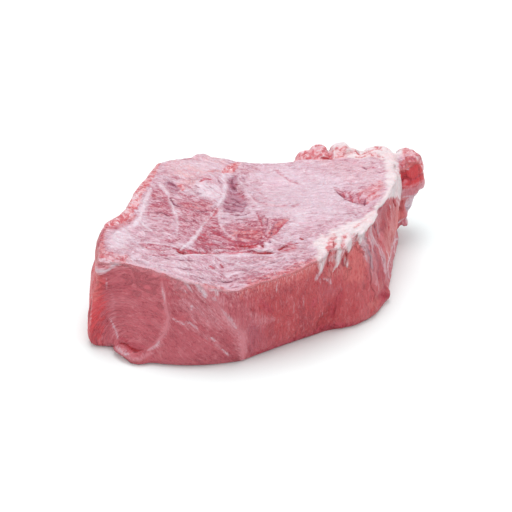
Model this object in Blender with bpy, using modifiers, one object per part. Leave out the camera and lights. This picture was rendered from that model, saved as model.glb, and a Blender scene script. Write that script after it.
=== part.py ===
"""Raw pork cut: one thick boneless slab of pork, lying on its flat underside.

The slab is lofted between two unlike outlines, the wide skirt near the board and the rim of the cut
upper face. Lobes of fat and muscle are fused to its back and its right end, the seams between the
muscles are carved in, the folds of fat are raised, and the whole is one closed solid.

Metres, +Z up, +X along the slab, the origin under the middle of its box.
"""

import math

import bmesh
import bpy
import numpy as np
from mathutils import Euler, Vector, noise

MM = 0.001
OBJECT = "raw_pork_cut"
NAME = "pork_slab"

# Driving dimensions, in millimetres.
THICKNESS = 55.0  # from the board to the cut upper face, before the underside is sliced level
SKIRT_HEIGHT = 5.5  # where the slab is widest
FOOT_INSET = 4.0  # how far the underside curls in from the skirt
RIM_ROUND = 2.5  # the small round between the side and the upper face
WALL_SWELL = 1.5  # how far the sides stand out at half height
FLAT_CUT = 0.8  # the slice taken off below, so that it rests on one flat face
RELIEF_DEPTH = 0.9  # the soft unevenness of cut muscle
RELIEF_SPAN = 17.0
WANDER = 3.0  # how far the seams and welts stray from their lines
WANDER_SPAN = 11.0
END_TAPER = 0.25  # the share of a seam or welt over which each end fades
END_DEPTH = 0.2  # what is left of its depth at the very end

# Mesh sizes, in counts and millimetres.
RING_POINTS = 144
WALL_LEVELS = 13
FOOT_RINGS = 4
CAP_RINGS = 9
CAP_REACH = 0.97  # how near the last ring of the upper face comes to its middle
LOBE_SEGMENTS, LOBE_RINGS = 28, 18
LOBE_ROUGHNESS = 0.3
LOBE_WAVES = 1.3  # waves of that roughness in a lobe's radius
FADE, FREQUENCY_STEP = 0.7, 2.1  # how each octave of unevenness weakens, and how much finer it is
LOBE_OCTAVES, RELIEF_OCTAVES = 2, 3
FUSE_VOXEL = 1.7
EASE_FACTOR, EASE_TURNS = 0.5, 4
TRIANGLES = 10500

# The outline of the slab, anticlockwise from its left front corner: the rim of the upper face, then the
# skirt below it, each as x, y in millimetres.
OUTLINE = (
    ((-82, -42), (-90, -48)),
    ((-71, -42), (-77, -51)),
    ((-56, -48), (-61, -62)),
    ((-38, -56), (-38, -66)),
    ((-15, -61), (-11, -63)),
    ((3, -55), (6, -54)),
    ((20, -48), (22, -45)),
    ((33, -39), (40, -36)),
    ((49, -24), (57, -30)),
    ((61, -11), (72, -15)),
    ((68, 8), (78, 9)),
    ((76, 25), (82, 33)),
    ((82, 48), (86, 58)),
    ((80, 68), (80, 75)),
    ((60, 67), (61, 77)),
    ((36, 62), (38, 71)),
    ((10, 58), (10, 66)),
    ((-12, 61), (-13, 67)),
    ((-32, 65), (-35, 71)),
    ((-57, 57), (-61, 63)),
    ((-67, 31), (-73, 36)),
    ((-75, 4), (-82, 8)),
    ((-84, -8), (-90, -8)),
    ((-86, -24), (-92, -24)),
    ((-84, -37), (-92, -40)),
)

# Swells and hollows of the upper face: x, y, radius and height in millimetres.
SWELLS = (
    (-12, -66, 24, -6.0),
    (20, -58, 22, -3.0),
    (30, 25, 40, 1.5),
    (-14, 30, 12, -2.0),
    (-10, -22, 20, -1.5),
    (-55, 5, 28, 1.5),
    (-80, -40, 20, -1.5),
)

# Lobes fused to the slab: centre, radii and turn about X, Y and Z, in millimetres and degrees.
LOBES = {
    "end_muscle": ((90.5, 64, 36), (9.5, 13, 19), (0, 4, -10)),
    "end_fat": ((89, 71, 47), (8, 12, 9), (0, 10, 0)),
    "end_tail": ((87, 60, 20), (7, 13, 9), (0, 0, -10)),
    "back_flap": ((34, 64, 51), (15, 9, 6), (0, -8, 14)),
    "back_nub": ((50, 70, 52), (7, 9, 7), (0, 0, 0)),
    "back_strip": ((56, 72, 44), (20, 6, 9), (0, 8, -4)),
    "corner_fat": ((72, 69, 51), (11, 9, 7), (0, 0, 0)),
    "back_swell": ((-22, 64, 24), (30, 8.5, 19), (0, 0, 4)),
    "foot_flap": ((-64, -57.5, 4), (13, 6.5, 4.5), (0, 0, -12)),
    "side_nub": ((74, -7, 6), (4, 3.5, 3.5), (0, 0, 0)),
}

# Lines pressed into the skin where two muscles meet or the meat has torn: points, half width and depth.
SEAMS = {
    "end_cleft": (((82, 42, 56), (84, 52, 54), (84, 57, 38), (84, 55, 20)), 4.5, 4.5),
    "front_fold": (((36, -39, 0), (38, -37, 12), (43, -33, 27)), 4.0, 3.0),
    "pocket": (((-15, 50, 54), (-13, 32, 53), (-10, 18, 53)), 6.0, 1.4),
    "torn_step": (((-38, -31, 53), (-20, -33, 52), (0, -33, 52), (16, -30, 53)), 4.0, 2.2),
    "left_collar": (((-85, -4, 42), (-88, -24, 41), (-87, -42, 40), (-74, -48, 43)), 5.5, 2.2),
    "hock_valley": (((70, 12, 46), (69, 3, 40), (66, -5, 30)), 5.5, 1.6),
    "shank_line": (((-47, -53, 50), (-49, -57, 38), (-45, -61, 29)), 3.0, 1.0),
    "loin_line": (((-40, -59, 33), (-22, -65, 18), (-11, -63, 5)), 3.0, 1.0),
    "brow_crescent": (((45, 27, 55), (50, 20, 55), (58, 14, 55)), 3.5, 1.4),
    "heel_valley": (((-4, -60, 26), (-3, -60, 15), (2, -57, 5)), 6.0, 1.4),
    "right_seam": (((80, 16, 4), (77, 18, 28), (72, 20, 50)), 4.0, 1.6),
    "back_seam": (((20, 70, 4), (13, 67, 28), (8, 59, 53)), 5.0, 2.5),
    "back_fold": (((-38, 71, 6), (-30, 69, 26), (-24, 64, 52)), 5.0, 2.0),
    "left_seam": (((-78, 22, 4), (-73, 20, 28), (-70, 17, 52)), 5.0, 1.8),
}

# Lines that stand proud of the skin: points, half width and height.
WELTS = {
    "fat_rim_front": (((36, -35, 52), (49, -22, 54), (63, -4, 54), (71, 16, 54)), 4.0, 1.8),
    "fat_rim_back": (((68, 8, 54), (73, 22, 54), (79, 38, 54), (80, 60, 54)), 4.5, 1.8),
    "torn_lip": (((-42, -37, 52), (-20, -38, 52), (0, -38, 51), (13, -36, 52)), 3.5, 1.2),
    "collar_lip": (((-84, -14, 37), (-88, -30, 37), (-85, -45, 38), (-72, -49, 40)), 5.0, 0.5),
    "fat_drip": (((33, -28, 53), (34, -37, 51), (37, -38, 45), (40, -37, 36)), 3.0, 1.6),
    "fat_drip_behind": (((44, -22, 54), (46, -29, 50), (45, -32, 43)), 3.0, 1.4),
    "side_streak": (((60, -13, 53), (62, -16, 42), (64, -20, 25)), 2.8, 1.3),
    "side_streak_behind": (((69, 2, 42), (71, -6, 27), (73, -11, 11)), 2.8, 1.3),
}


def closed_curve(points, count):
    """A smooth closed curve through the points, as count points evenly shared among them."""
    curve = []
    for step in range(count):
        place = step * len(points) / count
        start = int(place)
        share = place - start
        before, here, there, after = (Vector(points[(start + k) % len(points)]) for k in (-1, 0, 1, 2))
        bend = 2 * before - 5 * here + 4 * there - after
        twist = 3 * here - before - 3 * there + after
        curve.append((2 * here + (there - before) * share + bend * share**2 + twist * share**3) / 2)
    return curve


def outward(ring, index):
    """The level direction out of an anticlockwise ring at one of its points."""
    along = ring[(index + 1) % len(ring)] - ring[index - 1]
    return Vector((along.y, -along.x)).normalized()


def upper_face(x, y):
    """The height of the cut upper face, in millimetres."""
    height = THICKNESS
    for swell_x, swell_y, radius, rise in SWELLS:
        height += rise * math.exp(-((x - swell_x) ** 2 + (y - swell_y) ** 2) / radius**2)
    return height


def foot_rings(skirt, out):
    """Rings across the underside, then round its curled edge up to the skirt."""
    rings = []
    for step in range(1, FOOT_RINGS + 1):
        share = step / FOOT_RINGS
        rings.append([Vector((*((p - o * FOOT_INSET) * share), 0)) for p, o in zip(skirt, out)])
    for turn in (math.radians(30), math.radians(60)):
        inset = FOOT_INSET * (1 - math.sin(turn))
        height = SKIRT_HEIGHT * (1 - math.cos(turn))
        rings.append([Vector((*(p - o * inset), height)) for p, o in zip(skirt, out)])
    return rings


def wall_rings(skirt, rim, out):
    """Rings up the side from the skirt to just under the rim."""
    rings = []
    for level in range(WALL_LEVELS):
        share = level / (WALL_LEVELS - 1)
        swell = WALL_SWELL * math.sin(share * math.pi)
        ring = []
        for low, high, o in zip(skirt, rim, out):
            rise = (upper_face(*high) - RIM_ROUND - SKIRT_HEIGHT) * share
            ring.append(Vector((*(low.lerp(high, share) + o * swell), SKIRT_HEIGHT + rise)))
        rings.append(ring)
    return rings


def cap_rings(rim, out):
    """Rings over the rounded rim and inwards across the upper face."""
    rings = []
    for turn in (math.radians(45), math.radians(90)):
        inset = RIM_ROUND * (1 - math.cos(turn))
        drop = RIM_ROUND * (1 - math.sin(turn))
        level = [p - o * inset for p, o in zip(rim, out)]
        rings.append([Vector((*p, upper_face(*p) - drop)) for p in level])
    middle = sum(rim, Vector((0, 0))) / len(rim)
    edge = [p.to_2d() for p in rings[-1]]
    for step in range(1, CAP_RINGS + 1):
        level = [p.lerp(middle, CAP_REACH * step / CAP_RINGS) for p in edge]
        rings.append([Vector((*p, upper_face(*p))) for p in level])
    return rings


def add_collection(name):
    """A new collection in the scene."""
    collection = bpy.data.collections.new(name)
    bpy.context.scene.collection.children.link(collection)
    return collection


def add_slab(parts):
    """The slab, lofted through its rings and closed at both ends."""
    rim = closed_curve([pair[0] for pair in OUTLINE], RING_POINTS)
    skirt = closed_curve([pair[1] for pair in OUTLINE], RING_POINTS)
    out = [outward(skirt, index) for index in range(RING_POINTS)]
    rings = foot_rings(skirt, out) + wall_rings(skirt, rim, out) + cap_rings(rim, out)
    shape = bmesh.new()
    rows = [[shape.verts.new(point * MM) for point in ring] for ring in rings]
    for lower, upper in zip(rows, rows[1:]):
        for index in range(RING_POINTS):
            after = (index + 1) % RING_POINTS
            shape.faces.new((lower[index], lower[after], upper[after], upper[index]))
    shape.faces.new(reversed(rows[0]))
    shape.faces.new(rows[-1])
    mesh = bpy.data.meshes.new(NAME)
    shape.to_mesh(mesh)
    shape.free()
    slab = bpy.data.objects.new(NAME, mesh)
    parts.objects.link(slab)
    return slab


def add_lobe(name, centre, radii, turn, lobes):
    """One rounded lobe, a little uneven, in the collection of lobes."""
    shape = bmesh.new()
    bmesh.ops.create_uvsphere(shape, u_segments=LOBE_SEGMENTS, v_segments=LOBE_RINGS, radius=1)
    for vert in shape.verts:
        place = vert.co * LOBE_WAVES + Vector(centre)
        vert.co *= 1 + LOBE_ROUGHNESS * noise.fractal(place, FADE, FREQUENCY_STEP, LOBE_OCTAVES)
        vert.co = Vector(part * radius * MM for part, radius in zip(vert.co, radii))
    mesh = bpy.data.meshes.new(name)
    shape.to_mesh(mesh)
    shape.free()
    lobe = bpy.data.objects.new(name, mesh)
    lobe.location = Vector(centre) * MM
    lobe.rotation_euler = Euler([math.radians(angle) for angle in turn])
    lobes.objects.link(lobe)


def apply_modifiers(part):
    """Turn what the object's modifiers make into its own mesh."""
    bpy.context.view_layer.update()
    evaluated = part.evaluated_get(bpy.context.evaluated_depsgraph_get())
    mesh = bpy.data.meshes.new_from_object(evaluated)
    part.modifiers.clear()
    part.data = mesh


def fuse(slab, lobes):
    """Join the lobes to the slab, then blend the joints on an even skin of small faces."""
    union = slab.modifiers.new("join lobes", "BOOLEAN")
    union.operation = "UNION"
    union.operand_type = "COLLECTION"
    union.collection = lobes
    skin = slab.modifiers.new("even skin", "REMESH")
    skin.mode = "VOXEL"
    skin.voxel_size = FUSE_VOXEL * MM
    ease = slab.modifiers.new("ease joints", "SMOOTH")
    ease.factor = EASE_FACTOR
    ease.iterations = EASE_TURNS
    apply_modifiers(slab)
    for lobe in list(lobes.objects):
        bpy.data.objects.remove(lobe)
    bpy.data.collections.remove(lobes)


def wander(points):
    """The points moved about a little, so that a line drawn among them wavers as it does in meat."""
    strays = [noise.noise_vector(Vector(point) / WANDER_SPAN) for point in points]
    return points + WANDER * np.array(strays)


def nearness(points, line, half_width):
    """How near each point is to a line of points: 1 on it, less at its ends, 0 some half widths away."""
    line = np.array(line, float)
    nearest = np.full(len(points), np.inf)
    place = np.zeros(len(points))
    for index, (start, end) in enumerate(zip(line, line[1:])):
        run = end - start
        share = np.clip((points - start) @ run / (run @ run), 0, 1)
        gap = np.linalg.norm(points - start - share[:, None] * run, axis=1)
        place = np.where(gap < nearest, (index + share) / (len(line) - 1), place)
        nearest = np.minimum(nearest, gap)
    taper = np.clip(np.minimum(place, 1 - place) / END_TAPER, END_DEPTH, 1)
    return taper * np.exp(-2 * (nearest / half_width) ** 2)


def shape_skin(slab):
    """Give the skin the soft relief of muscle, press the seams into it and raise the welts."""
    points = np.array([vert.co for vert in slab.data.vertices]) / MM
    normals = np.array([vert.normal for vert in slab.data.vertices])
    relief = []
    for point in points:
        relief.append(noise.fractal(Vector(point) / RELIEF_SPAN, FADE, FREQUENCY_STEP, RELIEF_OCTAVES))
    moves = RELIEF_DEPTH * np.array(relief)
    places = wander(points)
    for line, half_width, depth in SEAMS.values():
        moves -= depth * nearness(places, line, half_width)
    for line, half_width, height in WELTS.values():
        moves += height * nearness(places, line, half_width)
    moves *= np.clip((points[:, 2] - FLAT_CUT) / SKIRT_HEIGHT, 0, 1)
    shaped = (points + normals * moves[:, None]) * MM
    slab.data.vertices.foreach_set("co", shaped.ravel())


def cut_flat(slab):
    """Slice the underside off level, and close the cut with one flat face."""
    shape = bmesh.new()
    shape.from_mesh(slab.data)
    everything = [*shape.verts, *shape.edges, *shape.faces]
    level = Vector((0, 0, FLAT_CUT * MM))
    cut = bmesh.ops.bisect_plane(
        shape,
        geom=everything,
        plane_co=level,
        plane_no=(0, 0, -1),
        clear_outer=True,
    )
    rim = [part for part in cut["geom_cut"] if isinstance(part, bmesh.types.BMEdge)]
    bmesh.ops.holes_fill(shape, edges=rim, sides=0)
    shape.to_mesh(slab.data)
    shape.free()


def thin_out(slab):
    """Keep the form with fewer triangles."""
    slab.data.calc_loop_triangles()
    fewer = slab.modifiers.new("fewer triangles", "DECIMATE")
    fewer.ratio = TRIANGLES / len(slab.data.loop_triangles)
    apply_modifiers(slab)


def settle(slab):
    """Put the origin under the middle of the box, on the underside."""
    corners = [Vector(corner) for corner in slab.bound_box]
    low = Vector(map(min, *corners))
    high = Vector(map(max, *corners))
    foot = Vector((*((low + high) / 2).to_2d(), low.z))
    for vert in slab.data.vertices:
        vert.co -= foot


def raw_pork():
    """The material of raw pork."""
    material = bpy.data.materials.new("raw_pork")
    material.use_nodes = True
    shader = material.node_tree.nodes["Principled BSDF"]
    shader.inputs["Base Color"].default_value = (0.62, 0.22, 0.22, 1)
    shader.inputs["Roughness"].default_value = 0.35
    shader.inputs["Metallic"].default_value = 0.0
    return material


def main():
    for old in list(bpy.data.objects):
        bpy.data.objects.remove(old)
    slab = add_slab(add_collection(OBJECT))
    lobes = add_collection("lobes")
    for name, (centre, radii, turn) in LOBES.items():
        add_lobe(name, centre, radii, turn, lobes)
    fuse(slab, lobes)
    shape_skin(slab)
    cut_flat(slab)
    thin_out(slab)
    settle(slab)
    slab.data.materials.clear()
    slab.data.materials.append(raw_pork())


main()
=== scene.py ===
"""Looks of a raw pork cut: the relief and the colours of its muscle, fat and silver skin.

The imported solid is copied, given an even skin of small faces, and carved and painted mark by mark.
The marks are drawn in millimetres on the faces of the cut, in a drawing frame that lies DRAWING_SHIFT
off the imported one. Lengths are millimetres, except in the finish and the studio, which use metres.
"""
from __future__ import annotations

import itertools
import logging
import math
from dataclasses import dataclass, field
from enum import Enum, IntEnum

import bmesh
import bpy
import numpy as np
from mathutils import Matrix, Vector
from mathutils.kdtree import KDTree


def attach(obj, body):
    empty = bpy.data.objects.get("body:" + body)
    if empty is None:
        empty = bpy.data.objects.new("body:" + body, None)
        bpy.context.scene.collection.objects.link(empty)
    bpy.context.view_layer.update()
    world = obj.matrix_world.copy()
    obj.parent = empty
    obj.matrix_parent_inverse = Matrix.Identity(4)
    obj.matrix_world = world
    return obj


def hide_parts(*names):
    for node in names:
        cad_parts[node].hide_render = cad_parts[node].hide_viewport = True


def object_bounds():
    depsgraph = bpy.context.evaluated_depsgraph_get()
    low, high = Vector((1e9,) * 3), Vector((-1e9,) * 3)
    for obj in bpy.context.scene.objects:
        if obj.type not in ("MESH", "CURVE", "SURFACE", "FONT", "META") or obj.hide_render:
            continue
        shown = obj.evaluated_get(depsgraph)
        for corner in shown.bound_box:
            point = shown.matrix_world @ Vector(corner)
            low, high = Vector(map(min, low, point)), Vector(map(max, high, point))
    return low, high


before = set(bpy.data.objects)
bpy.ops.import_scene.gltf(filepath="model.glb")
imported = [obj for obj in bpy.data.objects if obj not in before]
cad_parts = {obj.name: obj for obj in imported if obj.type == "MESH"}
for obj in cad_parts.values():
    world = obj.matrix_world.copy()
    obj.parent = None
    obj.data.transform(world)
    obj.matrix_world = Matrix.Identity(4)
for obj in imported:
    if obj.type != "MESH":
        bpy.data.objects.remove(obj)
CAD_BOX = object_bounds()

MM = 0.001
DRAWING_SHIFT = np.array((4.184, 8.610, 0.0))
LOG = logging.getLogger("raw_pork_cut")
Point = tuple[float, float]
Span = tuple[float, float]
Waves = tuple[float, float, float]
Colour = tuple[float, float, float, float]
Level = float | np.ndarray
Socket = bpy.types.NodeSocket
Settings = dict[str, object]

# How much light falls on the parts of the meat, with 1 for plain white.
TOP_LIGHT = 1.2
RIM_LIGHT = 1.1
SIDE_LIGHT = 1.0


class Face(Enum):
    """The side of the cut that a mark is drawn on."""

    UPPER = "upper"
    FRONT = "front"
    RIGHT = "right"
    LEFT = "left"
    BACK = "back"
    CREST = "crest"


# The two axes that the marks on each face are drawn along.
DRAWN_AXES = {
    Face.UPPER: (0, 1),
    Face.FRONT: (0, 2),
    Face.RIGHT: (1, 2),
    Face.LEFT: (1, 2),
    Face.BACK: (0, 2),
    Face.CREST: (0, 1),
}


class Tone(Enum):
    """What a mark paints on the meat. A carve only shapes it."""

    FLUSH = "flush"
    MAUVE = "mauve"
    RUST = "rust"
    DEEP = "deep"
    FILM = "film"
    HAZE = "haze"
    FAT = "fat"
    BLUSH = "blush"
    GAP = "gap"
    WARM = "warm"
    RUBY = "ruby"
    CALM = "calm"
    CREAM = "cream"
    PLUM = "plum"
    EMBER = "ember"
    CARVE = "carve"


class Seed(IntEnum):
    """What fixes each pattern of unevenness."""

    STRAY = 11
    FINE_STRAY = 12
    STREAK = 13
    BEND = 21
    STRANDS = 31
    LUMPS = 32
    PITS = 33
    BREAKS = 34
    FINER_STRANDS = 35
    FOLDS = 36
    LAP = 42


@dataclass(frozen=True)
class Stroke:
    """A line drawn on the meat: a seam, a crease, a thread of fat or a tear."""

    tone: Tone
    line: tuple[Point, ...]
    half_width: float
    strength: float = 1.0
    rise: float = 0.0
    tip: float = 1.0


@dataclass(frozen=True)
class Patch:
    """An area drawn on the meat by the corners of its outline."""

    tone: Tone
    outline: tuple[Point, ...]
    edge: float
    strength: float = 1.0
    rise: float = 0.0


@dataclass(frozen=True)
class Lump:
    """A rounded lump joined to the slab, by its middle and its half sizes along x, y and z."""

    middle: tuple[float, float, float]
    reach: tuple[float, float, float]


FLUSH, MAUVE, RUST, DEEP, GAP = Tone.FLUSH, Tone.MAUVE, Tone.RUST, Tone.DEEP, Tone.GAP
FILM, HAZE, FAT, BLUSH, CREAM = Tone.FILM, Tone.HAZE, Tone.FAT, Tone.BLUSH, Tone.CREAM
WARM, RUBY, CALM, PLUM = Tone.WARM, Tone.RUBY, Tone.CALM, Tone.PLUM
EMBER, CARVE = Tone.EMBER, Tone.CARVE

# The tones of bare wet muscle, which silver hairs don't cross.
WET_TONES = (FLUSH, MAUVE, RUST, DEEP, GAP, PLUM)

# A stroke gives its tone, line, half width, strength, rise and how wide its far end is, as a share.
# A patch gives its tone, outline, how soft its edge is, strength and rise.

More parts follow.
